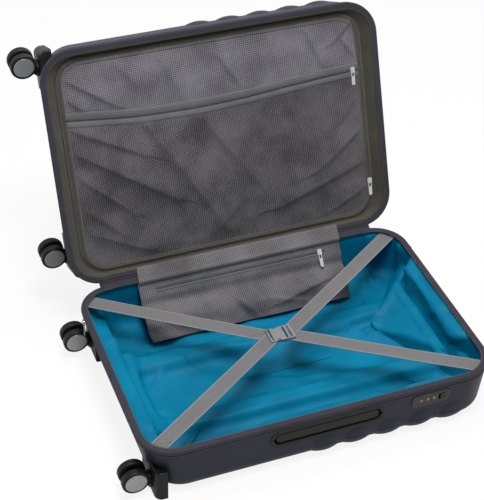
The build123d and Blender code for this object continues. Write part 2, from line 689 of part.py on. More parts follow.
# Side release buckle: socket on the left, bars and prongs on the right
buckle_z = STRAP_TOP - STRAP_T / 2
z0 = buckle_z - BUCKLE_T / 2
z1 = buckle_z + BUCKLE_T / 2
y0 = BUCKLE_Y - BUCKLE_W / 2
y1 = BUCKLE_Y + BUCKLE_W / 2
socket = box(buckle_x0, BUCKLE_X, y0, y1, z0, z1)
socket = fillet(socket.edges().filter_by(Axis.X), 2.5)
mouth = box(
    buckle_x0 + BUCKLE_BAR + BUCKLE_SLOT + BUCKLE_WALL,
    BUCKLE_X + 1,
    y0 + BUCKLE_WALL,
    y1 - BUCKLE_WALL,
    z0 + BUCKLE_WALL,
    z1 - BUCKLE_WALL,
)
strap_slot = box(
    buckle_x0 + BUCKLE_BAR,
    buckle_x0 + BUCKLE_BAR + BUCKLE_SLOT,
    y0 + BUCKLE_WALL,
    y1 - BUCKLE_WALL,
    z0 - 1,
    z1 + 1,
)
socket = socket - mouth - strap_slot
for edge_y in (y0, y1):
    socket = socket - Pos(BUCKLE_X - 8, edge_y, buckle_z) * Cylinder(4.0, BUCKLE_T + 2)
save(socket, "buckle_socket")
plate = box(BUCKLE_X + FIT, buckle_x1, y0, y1, z0 + 1, z1 - 1)
plate = fillet(plate.edges().filter_by(Axis.Z), 2.0)
for k in range(2):
    sx = BUCKLE_X + 7 + k * 8.5
    plate = plate - box(sx, sx + BUCKLE_SLOT, y0 + 3, y1 - 3, z0, z1)
prong_z = (z0 + BUCKLE_WALL + FIT, z1 - BUCKLE_WALL - FIT)
for edge in (-1, 1):
    mid = BUCKLE_Y + edge * (BUCKLE_W / 2 - BUCKLE_WALL - FIT - PRONG_W / 2)
    arm = box(BUCKLE_X + 1 - PRONG_L, BUCKLE_X + 2, mid - PRONG_W / 2, mid + PRONG_W / 2, *prong_z)
    plate = plate + arm
guide = box(BUCKLE_X + 1 - PRONG_L, BUCKLE_X + 2, BUCKLE_Y - 2, BUCKLE_Y + 2, *prong_z)
plate = plate + guide
save(plate, "buckle_plug")


# Zip sliders with their pull tabs; drawn with the tape face at z = 0 and the tab along -Y
def slider():
    body = box(-SLIDER_W / 2, SLIDER_W / 2, -SLIDER_L / 2, SLIDER_L / 2, 0, SLIDER_T - 1.4)
    body = fillet(body.edges().filter_by(Axis.Z), 2.0)
    loop = box(-1.6, 1.6, -SLIDER_L / 2 + 1, SLIDER_L / 2 - 2, 0, SLIDER_T)
    loop = loop - box(-2, 2, -SLIDER_L / 2 + 2.2, -SLIDER_L / 2 + 5, SLIDER_T - 2.6, SLIDER_T - 0.9)
    return body + loop


def pull_tab():
    y_top = -SLIDER_L / 2 + 1.4
    tab = box(-PULL_W / 2, PULL_W / 2, y_top - PULL_L, y_top, PULL_DROP, PULL_DROP + PULL_T)
    tab = fillet(tab.edges().filter_by(Axis.Z), 2.4)
    eye = box(-2.1, 2.1, y_top - 8, y_top + 1, PULL_DROP - 1, PULL_DROP + PULL_T + 1)
    link = box(-PULL_W / 2 + 0.6, -2.1, y_top - 10, y_top, PULL_DROP, PULL_DROP + PULL_T)
    return tab - eye + link


def slider_set(plane):
    """Slider and tab placed with the plane's Y away from the tab and its Z off the tape."""
    return group([plane.location * slider(), plane.location * pull_tab()])


main_z = RIM_Z - MAIN_SLIDER_DOWN + SLIDER_L / 2
end_lean = WHEEL_END_INSET / (RIM_Z - FACE_Z)
left_x = -(BODY_L / 2 - (RIM_Z - main_z - SLIDER_L / 2) * end_lean) - FIT
right_x = BODY_L / 2 + FIT
left_plane = Plane(origin=(left_x, MAIN_SLIDER_Y, main_z), x_dir=(0, -1, 0), z_dir=(-1, 0, 0))
right_plane = Plane(origin=(right_x, MAIN_SLIDER_Y, main_z), x_dir=(0, 1, 0), z_dir=(1, 0, 0))
save(slider_set(left_plane), "main_zip_slider_left")
save(slider_set(right_plane), "main_zip_slider_right")

# Sliders on the lid panel and on the flap
panel_face = RIM_Z - FIT - PANEL_DEPTH + FIT
edge_x = BODY_L / 2 - PANEL_INSET - PANEL_SLOPE - SLIDER_W / 2 - EDGE_SLIDER_IN
lid_up = Vector(0, *[b - a for a, b in zip(lifted_point(0, 0), lifted_point(-1, 0))])
lid_out = Vector(0, *[b - a for a, b in zip(lifted_point(0, 0), lifted_point(0, 1))])


def on_panel(x, y):
    py, pz = lifted_point(y, panel_face)
    return Plane(origin=(x, py, pz), x_dir=lid_up.cross(lid_out), z_dir=lid_out)


save(slider_set(on_panel(edge_x, EDGE_SLIDER_Y)), "lid_edge_slider")
save(slider_set(on_panel(POCKET_SLIDER_X - SLIDER_W, POCKET_ZIP_Y)), "lid_pocket_slider")
flap_out = Vector(0, -FLAP_FALL / flap_len, FLAP_RUN / flap_len)
flap_up = Vector(0, FLAP_RUN / flap_len, FLAP_FALL / flap_len)
slider_at = Vector(0, flap_y, flap_z) - flap_up * FLAP_SLIDER_RUN + flap_out * (FLAP_T + FIT)
flap_mount = Plane(origin=slider_at + Vector(FLAP_SLIDER_X, 0, 0), x_dir=flap_up.cross(flap_out), z_dir=flap_out)
save(slider_set(flap_mount), "flap_slider")


# Casters: fork with its pin, axle, two wheels and their hub discs
def caster(name, y, z):
    axle_z = z + TRAIL
    pin = rod_x(HOUSING_X, HOUSING_X + KINGPIN_L, y, z, KINGPIN_R)
    plate_x1 = HOUSING_X - FIT
    turntable = rod_x(plate_x1 - TURNTABLE_T, plate_x1, y, z, TURNTABLE_R)
    pin = pin + rod_x(plate_x1 - 1, HOUSING_X + 1, y, z, KINGPIN_R)
    web_plane = Plane(origin=(0, y + FORK_T / 2, 0), x_dir=(1, 0, 0), z_dir=(0, -1, 0))
    boss = Pos(WHEEL_X, axle_z) * Circle(AXLE_R + 5)
    foot_x = plate_x1 - TURNTABLE_T / 2
    foot = Pos(foot_x, z) * Rectangle(TURNTABLE_T, 2 * TURNTABLE_R - 4)
    web = extrude(web_plane * make_hull(boss.edges() + foot.edges()), amount=FORK_T)
    fork = web + turntable + pin
    fork = fork - rod_y(WHEEL_X, y - FORK_T, y + FORK_T, axle_z, AXLE_R + PIN_FIT)
    save(fork, "caster_fork_" + name)
    inner = FORK_T / 2 + FORK_SIDE_GAP
    half_axle = inner + WHEEL_T - DISC_SEAT - 0.5
    save(rod_y(WHEEL_X, y - half_axle, y + half_axle, axle_z, AXLE_R), "caster_axle_" + name)
    for side, label in ((-1, "near"), (1, "far")):
        y_in = y + side * inner
        y_out = y + side * (inner + WHEEL_T)
        wheel = rod_y(WHEEL_X, min(y_in, y_out), max(y_in, y_out), axle_z, WHEEL_R)
        wheel = fillet(wheel.edges(), 3.0)
        through = inner + WHEEL_T + 1
        wheel = wheel - rod_y(WHEEL_X, y - through, y + through, axle_z, AXLE_R + RUN_FIT)
        for k in range(SPOKE_GAPS):
            turn = radians(90 + k * 360 / SPOKE_GAPS)
            gx = WHEEL_X + 13.0 * cos(turn)
            gz = axle_z + 13.0 * sin(turn)
            wheel = wheel - rod_y(gx, y - through, y + through, gz, SPOKE_GAP_R)
        seat = (y_out - side * DISC_SEAT, y_out + side)
        wheel = wheel - rod_y(WHEEL_X, min(seat), max(seat), axle_z, DISC_R + PIN_FIT)
        save(wheel, "wheel_" + name + "_" + label)
        face = (y_out - side * (DISC_SEAT - PIN_FIT), y_out - side * DISC_SEAT + side * DISC_T)
        disc = rod_y(WHEEL_X, min(face), max(face), axle_z, DISC_R)
        rim_edge = disc.edges().sort_by(Axis.Y)[-1 if side > 0 else 0]
        disc = fillet(rim_edge, 0.8)
        save(disc, "hub_disc_" + name + "_" + label)


caster("base_front", -SWIVEL_Y, SWIVEL_Z)
caster("base_rear", SWIVEL_Y, SWIVEL_Z)
caster("lid_front", *lifted_point(-SWIVEL_Y, SWIVEL_Z))
caster("lid_rear", *lifted_point(SWIVEL_Y, SWIVEL_Z))
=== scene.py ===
"""Looks of the open hard shell suitcase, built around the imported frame. All sizes in the tables are millimetres."""

import math

import bmesh
import bpy
import numpy as np
from mathutils import Matrix, Vector


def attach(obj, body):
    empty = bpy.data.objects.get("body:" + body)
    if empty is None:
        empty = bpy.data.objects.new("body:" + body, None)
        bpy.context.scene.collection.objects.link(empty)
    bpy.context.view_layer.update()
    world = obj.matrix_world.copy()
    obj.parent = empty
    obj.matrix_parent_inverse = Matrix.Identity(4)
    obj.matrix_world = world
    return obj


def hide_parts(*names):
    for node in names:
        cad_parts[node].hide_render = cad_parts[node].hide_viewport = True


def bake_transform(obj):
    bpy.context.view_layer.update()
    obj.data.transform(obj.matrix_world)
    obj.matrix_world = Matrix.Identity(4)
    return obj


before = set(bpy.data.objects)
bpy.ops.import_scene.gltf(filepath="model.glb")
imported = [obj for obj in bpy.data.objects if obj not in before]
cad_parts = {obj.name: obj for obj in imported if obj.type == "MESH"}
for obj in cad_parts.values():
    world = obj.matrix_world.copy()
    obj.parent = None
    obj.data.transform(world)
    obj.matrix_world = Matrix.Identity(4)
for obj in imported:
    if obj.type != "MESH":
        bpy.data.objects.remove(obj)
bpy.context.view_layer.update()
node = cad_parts
scene = bpy.context.scene

# Sizes of the case that the soft pieces follow
BODY_L, BODY_W, RIM_Z, CORNER_R, EDGE_R = 680.0, 458.0, 115.0, 65.0, 30.0
FACE_Z, END_LEAN, SIDE_LEAN = 4.3, 24.0, 6.0
HINGE_Y, HINGE_Z, OPEN_DEG, HINGE_LEN = 232.0, 115.5, 112.5, 520.0
LINING_IN = 5.0
LEDGE_X, LEDGE_TOP = -293.7, 69.3
TUBE_Y, TUBE_HALF, TUBE_TOP = 85.0, 12.0, 26.5
PANEL_DEPTH = 16.0
FLAP_HALF, FLAP_Y, FLAP_Z, FLAP_RUN, FLAP_FALL = 213.0, 221.73, 110.0, 77.0, 92.0
STRAP_TOP, BUCKLE_X, BUCKLE_Y, BUCKLE_HALF = 109.0, -4.0, -4.0, 25.0


# ---------------------------------------------------------------- small maths
def noise(points, size, seed=0):
    """Smooth noise from -1 to 1 at points, with features about as large as size."""
    p = np.asarray(points, float) / size + seed * 17.31
    cell = np.floor(p).astype(np.int64)
    f = p - cell
    f = f * f * f * (f * (f * 6 - 15) + 10)
    total = np.zeros(p.shape[:-1])
    for dx in (0, 1):
        for dy in (0, 1):
            for dz in (0, 1):
                h = (cell[..., 0] + dx) * 374761393 + (cell[..., 1] + dy) * 668265263
                h = h + (cell[..., 2] + dz) * 2147483647 + seed * 1274126177
                h = (h ^ (h >> 13)) * 1274126177
                h = (h ^ (h >> 16)) & 0xFFFF
                w = np.where(dx, f[..., 0], 1 - f[..., 0])
                w = w * np.where(dy, f[..., 1], 1 - f[..., 1])
                w = w * np.where(dz, f[..., 2], 1 - f[..., 2])
                total += w * (h / 32767.5 - 1)
    return total


def smooth_step(x, low, high):
    t = np.clip((x - low) / (high - low), 0, 1)
    return t * t * (3 - 2 * t)


def lifted(p):
    """A point of the closed lid, drawn like the base, moved to the open lid."""
    p = np.asarray(p, float)
    c, s = math.cos(math.radians(OPEN_DEG)), math.sin(math.radians(OPEN_DEG))
    dy, dz = p[..., 1] - HINGE_Y, HINGE_Z - p[..., 2]
    return np.stack([p[..., 0], HINGE_Y + dy * c + dz * s, HINGE_Z - dy * s + dz * c], axis=-1)


def round_box(half_l, half_w, r, z, mid_x=0.0, side=64, end=44, arc=14):
    """Points of a rounded rectangle, counter-clockwise from the handle end."""
    pts = []
    turns = [(half_l - r, half_w - r, 0), (r - half_l, half_w - r, 90)]
    turns += [(r - half_l, r - half_w, 180), (half_l - r, r - half_w, 270)]
    for k, (cx, cy, a0) in enumerate(turns):
        for i in range(arc):
            a = math.radians(a0 + 90 * i / (arc - 1))
            pts.append((cx + r * math.cos(a), cy + r * math.sin(a)))
        nx, ny, a1 = turns[(k + 1) % 4]
        a = math.radians(a1)
        goal = (nx + r * math.cos(a), ny + r * math.sin(a))
        last = pts[-1]
        n = side if k in (0, 2) else end
        pts += [(last[0] + (goal[0] - last[0]) * i / n, last[1] + (goal[1] - last[1]) * i / n) for i in range(1, n)]
    p = np.array(pts)
    return np.column_stack([p[:, 0] + mid_x, p[:, 1], np.full(len(p), z)])


def ring(inset, z, side=64, end=44, arc=14):
    """Outline of the tub at a height, moved in by inset."""
    t = (RIM_Z - z) / (RIM_Z - FACE_Z)
    half_l = BODY_L / 2 - inset - t * (END_LEAN + SIDE_LEAN) / 2
    half_w = max(BODY_W / 2 - inset - t * SIDE_LEAN, 0.0)
    mid_x = t * (END_LEAN - SIDE_LEAN) / 2
    r = min(max(CORNER_R - inset, 0.6), half_w)
    return round_box(half_l, half_w, r, z, mid_x, side, end, arc)


# ---------------------------------------------------------------- mesh helpers
def make_object(name, verts, faces, uv=None, smooth=True):
    """A mesh object at the origin from points in millimetres; uv has one pair for each face corner."""
    mesh = bpy.data.meshes.new(name)
    mesh.from_pydata([tuple(v) for v in np.asarray(verts) / 1000.0], [], [tuple(f) for f in faces])
    if uv is not None:
        layer = mesh.uv_layers.new(name="cloth")
        layer.data.foreach_set("uv", np.asarray(uv, np.float32).ravel())
    mesh.polygons.foreach_set("use_smooth", [smooth] * len(mesh.polygons))
    mesh.update()
    obj = bpy.data.objects.new(name, mesh)
    scene.collection.objects.link(obj)
    return obj


def grid_faces(nu, nv, wrap_u=False, wrap_v=False, flip=False):
    """Quads of a grid whose point (i, j) has the index i * nv + j."""
    quads = []
    for i in range(nu if wrap_u else nu - 1):
        for j in range(nv if wrap_v else nv - 1):
            a, b = i * nv + j, ((i + 1) % nu) * nv + j
            c, d = ((i + 1) % nu) * nv + (j + 1) % nv, i * nv + (j + 1) % nv
            quads.append((a, d, c, b) if flip else (a, b, c, d))
    return quads


def grid_object(name, p, uv=None, wrap_u=False, wrap_v=False, flip=False):
    """A grid of points p[i, j] as an object. uv[i, j] is in metres; across a wrap it runs on by one step."""
    nu, nv = p.shape[:2]
    faces = grid_faces(nu, nv, wrap_u, wrap_v, flip)
    corner_uv = None
    if uv is not None:
        flat = uv.reshape(-1, 2)
        f = np.array(faces)
        corner_uv = flat[f].copy()
        for axis, n, wrapped in ((0, nu, wrap_u), (1, nv, wrap_v)):
            if wrapped:
                at = (f // nv) if axis == 0 else (f % nv)
                over = (at == 0) & (at.max(axis=1) == n - 1)[:, None]
                step = flat.reshape(nu, nv, 2)
                step = (step[-1] - step[0]).mean(0) if axis == 0 else (step[:, -1] - step[:, 0]).mean(0)
                corner_uv[over] += step * n / (n - 1)
    return make_object(name, p.reshape(-1, 3), faces, corner_uv)


def merge_close(obj, distance=0.00005):
    bm = bmesh.new()
    bm.from_mesh(obj.data)
    bmesh.ops.remove_doubles(bm, verts=bm.verts, dist=distance)
    bm.to_mesh(obj.data)
    bm.free()


def thicken(obj, millimetres, offset):
    m = obj.modifiers.new("thickness", "SOLIDIFY")
    m.thickness, m.offset, m.use_even_offset = millimetres / 1000.0, offset, False
    return obj


def finish_mesh(obj):
    """Applies the modifiers of a piece."""
    dg = bpy.context.evaluated_depsgraph_get()
    mesh = bpy.data.meshes.new_from_object(obj.evaluated_get(dg))
    obj.modifiers.clear()
    obj.data = mesh
    return obj


def paint(obj, material):
    obj.data.materials.clear()
    obj.data.materials.append(material)


def dress(obj, material, body, slot, *nodes):
    """Gives a new piece its material and its body, and hides the nodes that it stands for. The slot is not used."""
    paint(obj, material)
    if body:
        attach(obj, body)
    if nodes:
        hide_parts(*nodes)
    return obj


def lay_cloth(obj, thick, offset, *dressing):
    """Gives a sheet its thickness in millimetres and dresses it."""
    return dress(finish_mesh(thicken(obj, thick, offset)), *dressing)


# ---------------------------------------------------------------- node helpers
class Net:
    """Short forms for building a node tree."""

    def __init__(self, tree):
        self.tree = tree

    def add(self, kind, **values):
        n = self.tree.nodes.new(kind)
        for k, v in values.items():
            if hasattr(n, k):
                setattr(n, k, v)
            else:
                self.put(n.inputs[k.replace("_", " ")], v)
        return n

    def put(self, socket, v):
        if isinstance(v, bpy.types.NodeSocket):
            self.tree.links.new(v, socket)
        else:
            socket.default_value = v

    def math(self, op, a, b=0.0):
        n = self.add("ShaderNodeMath", operation=op)
        self.put(n.inputs[0], a)
        self.put(n.inputs[1], b)
        return n.outputs[0]

    def mix(self, factor, a, b):
        n = self.add("ShaderNodeMix", data_type="RGBA", Factor=factor)
        self.put(n.inputs[6], a)
        self.put(n.inputs[7], b)
        return n.outputs[2]

    def span(self, value, low, high, to_low=0.0, to_high=1.0):
        n = self.add("ShaderNodeMapRange")
        for i, v in enumerate((value, low, high, to_low, to_high)):
            self.put(n.inputs[i], v)
        return n.outputs[0]


def shader_group(name, inputs, outputs):
    """An empty shader node group with named sockets: returns the tree, its net, inputs and outputs."""
    tree = bpy.data.node_groups.new(name, "ShaderNodeTree")
    kinds = {"v": "NodeSocketVector", "f": "NodeSocketFloat", "c": "NodeSocketColor"}
    for label, kind, value in inputs:
        s = tree.interface.new_socket(label, in_out="INPUT", socket_type=kinds[kind])
        if value is not None:
            s.default_value = value
    for label, kind in outputs:
        tree.interface.new_socket(label, in_out="OUTPUT", socket_type=kinds[kind])
    net = Net(tree)
    return tree, net, net.add("NodeGroupInput").outputs, net.add("NodeGroupOutput").inputs


def split_xyz(net, vector):
    return net.add("ShaderNodeSeparateXYZ", Vector=vector).outputs


def wave_of(net, value, pitch):
    """A cosine along a value in metres, from -1 to 1, that repeats each pitch."""
    return net.math("COSINE", net.math("MULTIPLY", net.math("DIVIDE", value, pitch), 2 * math.pi))


def build_moulded_grain():
    """Fine pebble of moulded plastic, with broad soft smudges."""
    tree, net, i, o = shader_group(
        "moulded_grain",
        [("Place", "v", None), ("Grain", "f", 900.0), ("Smudge", "f", 9.0)],
        [("Height", "f"), ("Tone", "f")],
    )
    cells = net.add("ShaderNodeTexVoronoi", Vector=i["Place"], Scale=i["Grain"])
    fine = net.add("ShaderNodeTexNoise", Vector=i["Place"], Scale=net.math("MULTIPLY", i["Grain"], 0.45), Detail=2.0)
    broad = net.add("ShaderNodeTexNoise", Vector=i["Place"], Scale=i["Smudge"], Detail=4.0, Roughness=0.6)
    height = net.math("ADD", cells.outputs["Distance"], net.math("MULTIPLY", fine.outputs[0], 0.7))
    net.put(o["Height"], height)
    net.put(o["Tone"], broad.outputs[0])
    return tree


def build_honeycomb_weave():
    """Six-sided cells of a thick woven cloth."""
    tree, net, i, o = shader_group(
        "honeycomb_weave", [("Place", "v", None), ("Pitch", "f", 0.005)], [("Height", "f"), ("Tone", "f")]
    )
    x, y, _ = split_xyz(net, i["Place"])
    lean = net.math("MULTIPLY", y, 0.8660254)
    half = net.math("MULTIPLY", x, 0.5)
    a = wave_of(net, x, i["Pitch"])
    b = wave_of(net, net.math("ADD", half, lean), i["Pitch"])
    c = wave_of(net, net.math("SUBTRACT", half, lean), i["Pitch"])
    total = net.math("ADD", net.math("ADD", a, b), c)
    cell = net.span(total, -1.5, 1.8)
    yarn = wave_of(net, net.math("ADD", x, y), net.math("MULTIPLY", i["Pitch"], 0.22))
    net.put(o["Height"], net.math("ADD", cell, net.math("MULTIPLY", yarn, 0.08)))
    net.put(o["Tone"], cell)
    return tree


def build_square_weave():
    """Small squares of a ripstop cloth with its crossing yarns."""
    tree, net, i, o = shader_group(
        "square_weave", [("Place", "v", None), ("Pitch", "f", 0.004)], [("Height", "f"), ("Tone", "f")]
    )
    x, y, _ = split_xyz(net, i["Place"])
    a, b = wave_of(net, x, i["Pitch"]), wave_of(net, y, i["Pitch"])
    cell = net.span(net.math("ADD", a, b), -1.2, 1.4)
    small = net.math("MULTIPLY", i["Pitch"], 0.25)
    yarn = net.math("MULTIPLY", wave_of(net, x, small), wave_of(net, y, small))
    net.put(o["Height"], net.math("ADD", cell, net.math("MULTIPLY", yarn, 0.12)))
    net.put(o["Tone"], cell)
    return tree


def build_twill_weave():
    """Fine slanting ribs of woven tape and webbing; Place runs along the tape in x and across it in y."""
    tree, net, i, o = shader_group(
        "twill_weave",
        [("Place", "v", None), ("Pitch", "f", 0.002), ("Slant", "f", 0.6)],
        [("Height", "f"), ("Tone", "f")],
    )
    x, y, _ = split_xyz(net, i["Place"])
    up = net.math("PINGPONG", y, net.math("MULTIPLY", i["Pitch"], 2.0))
    rib = wave_of(net, net.math("ADD", x, net.math("MULTIPLY", up, i["Slant"])), i["Pitch"])
    warp = wave_of(net, y, net.math("MULTIPLY", i["Pitch"], 0.8))
    net.put(o["Height"], net.math("ADD", rib, net.math("MULTIPLY", warp, 0.4)))
    net.put(o["Tone"], net.span(rib, -1.0, 1.0))
    return tree


def build_cloth_mottle():
    """Slow changes of tone over a cloth, with lint."""
    tree, net, i, o = shader_group(
        "cloth_mottle", [("Place", "v", None), ("Size", "f", 14.0)], [("Tone", "f"), ("Lint", "f")]
    )
    broad = net.add("ShaderNodeTexNoise", Vector=i["Place"], Scale=i["Size"], Detail=5.0, Roughness=0.55)
    lint = net.add("ShaderNodeTexNoise", Vector=i["Place"], Scale=net.math("MULTIPLY", i["Size"], 60.0), Detail=1.0)
    net.put(o["Tone"], broad.outputs[0])
    net.put(o["Lint"], lint.outputs[0])
    return tree


GROUPS = {
    "grain": build_moulded_grain(),
    "honeycomb": build_honeycomb_weave(),
    "square": build_square_weave(),
    "twill": build_twill_weave(),
    "mottle": build_cloth_mottle(),
}


def new_material(name, roughness, metallic=0.0, specular=0.5, sheen=0.0, coat=0.0):
    """A material with an empty Principled shader and its uniform values set on the sockets."""
    m = bpy.data.materials.new(name)
    m.use_nodes = True
    m.node_tree.nodes.clear()
    net = Net(m.node_tree)
    shader = net.add("ShaderNodeBsdfPrincipled", Roughness=roughness, Metallic=metallic, Specular_IOR_Level=specular)
    net.put(shader.inputs["Sheen Weight"], sheen)
    net.put(shader.inputs["Coat Weight"], coat)
    net.put(net.add("ShaderNodeOutputMaterial").inputs[0], shader.outputs[0])
    return m, net, shader


def use_group(net, key, **values):
    return net.add("ShaderNodeGroup", node_tree=GROUPS[key], **values).outputs


def object_place(net):
    return net.add("ShaderNodeTexCoord").outputs["Object"]


def cloth_place(net):
    return net.add("ShaderNodeUVMap", uv_map="cloth").outputs[0]


def bump(net, shader, height, strength, distance):
    b = net.add("ShaderNodeBump", Strength=strength, Distance=distance, Height=height)
    net.put(shader.inputs["Normal"], b.outputs[0])


def plastic(name, dark, light, roughness, grain=900.0, strength=0.25, rough_span=0.12, **more):
    """Moulded plastic: fine pebble, smudged tone and roughness."""
    m, net, shader = new_material(name, roughness, **more)
    g = use_group(net, "grain", Place=object_place(net), Grain=grain)
    net.put(shader.inputs["Base Color"], net.mix(net.span(g["Tone"], 0.3, 0.7), (*dark, 1), (*light, 1)))
    rough = net.span(g["Tone"], 0.25, 0.75, roughness - rough_span / 2, roughness + rough_span / 2)
    net.put(shader.inputs["Roughness"], rough)
    bump(net, shader, g["Height"], strength, 0.0004)
    return m


def metal(name, dark, light, roughness, streak=(1.0, 1.0, 1.0), scale=700.0, metallic=1.0):
    """Bare metal with fine drawn or ground lines."""
    m, net, shader = new_material(name, roughness, metallic=metallic)
    place = net.add("ShaderNodeMapping", Vector=object_place(net), Scale=streak)
    lines = net.add("ShaderNodeTexNoise", Vector=place.outputs[0], Scale=scale, Detail=3.0)
    net.put(shader.inputs["Base Color"], net.mix(lines.outputs[0], (*dark, 1), (*light, 1)))
    net.put(shader.inputs["Roughness"], net.span(lines.outputs[0], 0.3, 0.7, roughness * 0.8, roughness * 1.25))
    bump(net, shader, lines.outputs[0], 0.08, 0.0002)
    return m


def woven(name, weave, pitch, dark, light, strength, depth, sheen=0.15, roughness=0.8, mottle=0.35):
    """Cloth with its weave on the piece's own flat pattern."""
    m, net, shader = new_material(name, roughness, sheen=sheen, specular=0.2)
    shader.inputs["Sheen Roughness"].default_value = 0.45
    w = use_group(net, weave, Place=cloth_place(net), Pitch=pitch)
    t = use_group(net, "mottle", Place=object_place(net))
    tone = net.math("MULTIPLY", net.span(t["Tone"], 0.3, 0.7, -1.0, 1.0), mottle)
    lint = net.math("MULTIPLY", net.math("SUBTRACT", t["Lint"], 0.5), 0.4)
    tone = net.math("ADD", net.math("ADD", w["Tone"], tone), lint)
    tone = net.math("MAXIMUM", net.math("MINIMUM", tone, 1.0), 0.0)
    net.put(shader.inputs["Base Color"], net.mix(tone, (*dark, 1), (*light, 1)))
    bump(net, shader, w["Height"], strength, depth)
    return m


SHELL = plastic(
    "shell_navy", (0.017, 0.0175, 0.031), (0.023, 0.0235, 0.040), 0.46, grain=1100.0, strength=0.18,
    specular=0.15
)
BLACK = plastic("caster_black", (0.007, 0.007, 0.008), (0.013, 0.013, 0.014), 0.38, grain=800.0, specular=0.15)
HANDLE = plastic(
    "handle_black", (0.013, 0.013, 0.012), (0.022, 0.022, 0.019), 0.5, grain=700.0, strength=0.35,
    specular=0.15
)
TYRE = plastic("tyre_black", (0.007, 0.007, 0.008), (0.015, 0.015, 0.016), 0.45, grain=600.0, specular=0.15)
DISC = plastic(
    "disc_silver", (0.27, 0.27, 0.275), (0.34, 0.34, 0.345), 0.34, grain=1400.0, strength=0.06, metallic=0.55
)
BUCKLE = plastic("buckle_grey", (0.165, 0.168, 0.175), (0.215, 0.218, 0.222), 0.38, grain=900.0, strength=0.15)
LOCK = plastic(
    "lock_dark", (0.012, 0.011, 0.0095), (0.020, 0.0185, 0.016), 0.24, grain=700.0, strength=0.06,
    specular=0.3
)
DIAL = plastic(
    "dial_red", (0.085, 0.020, 0.016), (0.15, 0.036, 0.028), 0.25, grain=800.0, strength=0.1, coat=0.4
)
DIGIT = plastic("digit_white", (0.62, 0.60, 0.58), (0.74, 0.72, 0.70), 0.5, grain=900.0, strength=0.05)
STEEL = metal("screw_steel", (0.42, 0.42, 0.43), (0.6, 0.6, 0.6), 0.3)
TUBE = metal("tube_aluminium", (0.52, 0.53, 0.55), (0.68, 0.69, 0.7), 0.32, streak=(0.05, 1.0, 1.0))
SLIDER = metal("slider_metal", (0.42, 0.42, 0.43), (0.60, 0.60, 0.61), 0.26)
COIL = plastic("zip_coil", (0.055, 0.043, 0.036), (0.085, 0.068, 0.056), 0.4, grain=1500.0, strength=0.1)
COIL_GREY = plastic(
    "zip_coil_grey", (0.028, 0.028, 0.03), (0.05, 0.05, 0.052), 0.45, grain=1500.0, strength=0.1
)
THREAD = plastic("thread_navy", (0.03, 0.03, 0.042), (0.05, 0.05, 0.066), 0.8, grain=2200.0, strength=0.3)
THREAD_GREY = plastic("thread_grey", (0.12, 0.12, 0.125), (0.19, 0.19, 0.2), 0.8, grain=2200.0, strength=0.3)

TAPE = woven(
    "tape_navy", "twill", 0.0016, (0.022, 0.0215, 0.030), (0.042, 0.040, 0.052), 0.4, 0.0003, sheen=0.05
)
PANEL_UP = woven(
    "panel_cloth_square", "square", 0.0040, (0.062, 0.059, 0.068), (0.215, 0.208, 0.232), 0.5, 0.0005
)
PANEL_LOW = woven(
    "panel_cloth_honeycomb", "honeycomb", 0.0040, (0.026, 0.024, 0.027), (0.150, 0.142, 0.152), 0.7, 0.0008
)
GUSSET = woven("panel_border_olive", "twill", 0.002, (0.034, 0.030, 0.023), (0.072, 0.066, 0.053), 0.5, 0.0004)
EDGE_TAPE = woven("edge_zip_tape", "twill", 0.0018, (0.050, 0.046, 0.040), (0.095, 0.089, 0.080), 0.4, 0.0003)
ZIP_TAPE = woven("zip_tape_grey", "twill", 0.0018, (0.085, 0.086, 0.090), (0.155, 0.157, 0.162), 0.4, 0.0003)
HEM = woven("panel_hem_grey", "twill", 0.0022, (0.080, 0.078, 0.078), (0.150, 0.147, 0.146), 0.4, 0.0003)
FLAP = woven("flap_cloth", "square", 0.0038, (0.052, 0.049, 0.053), (0.185, 0.176, 0.188), 0.5, 0.0005)


def build_webbing():
    """Strap webbing: slanting ribs with a paler woven edge."""
    m, net, shader = new_material("webbing_grey", 0.75, sheen=0.2, specular=0.35)
    place = cloth_place(net)
    w = use_group(net, "twill", Place=place, Pitch=0.0026, Slant=0.9)
    t = use_group(net, "mottle", Place=object_place(net), Size=22.0)
    tone = net.math("ADD", net.math("MULTIPLY", w["Tone"], 0.6), net.math("MULTIPLY", t["Tone"], 0.4))
    body = net.mix(tone, (0.105, 0.102, 0.103, 1), (0.185, 0.180, 0.183, 1))
    _, y, _ = split_xyz(net, place)
    edge = net.span(net.math("ABSOLUTE", y), 0.0124, 0.0138)
    net.put(shader.inputs["Base Color"], net.mix(edge, body, (0.24, 0.245, 0.255, 1)))
    bump(net, shader, w["Height"], 0.5, 0.0004)
    return m


def build_satin():
    """Teal lining satin: soft gloss, fine float yarns and slow changes of tone."""
    m, net, shader = new_material("lining_teal", 0.5, sheen=0.12, specular=0.1)
    shader.inputs["Sheen Roughness"].default_value = 0.35
    shader.inputs["Sheen Tint"].default_value = (0.0, 0.6, 0.9, 1)
    place = object_place(net)
    t = use_group(net, "mottle", Place=place, Size=9.0)
    yarns = net.add("ShaderNodeMapping", Vector=place, Scale=(1.0, 9.0, 9.0))
    line = net.add("ShaderNodeTexNoise", Vector=yarns.outputs[0], Scale=420.0, Detail=2.0)
    colour = net.mix(net.span(t["Tone"], 0.3, 0.7), (0.0, 0.128, 0.235, 1), (0.0, 0.180, 0.315, 1))
    net.put(shader.inputs["Base Color"], colour)
    net.put(shader.inputs["Roughness"], net.span(t["Tone"], 0.3, 0.7, 0.45, 0.6))
    bump(net, shader, net.math("ADD", line.outputs[0], t["Lint"]), 0.12, 0.0003)
    return m


WEBBING = build_webbing()
SATIN = build_satin()

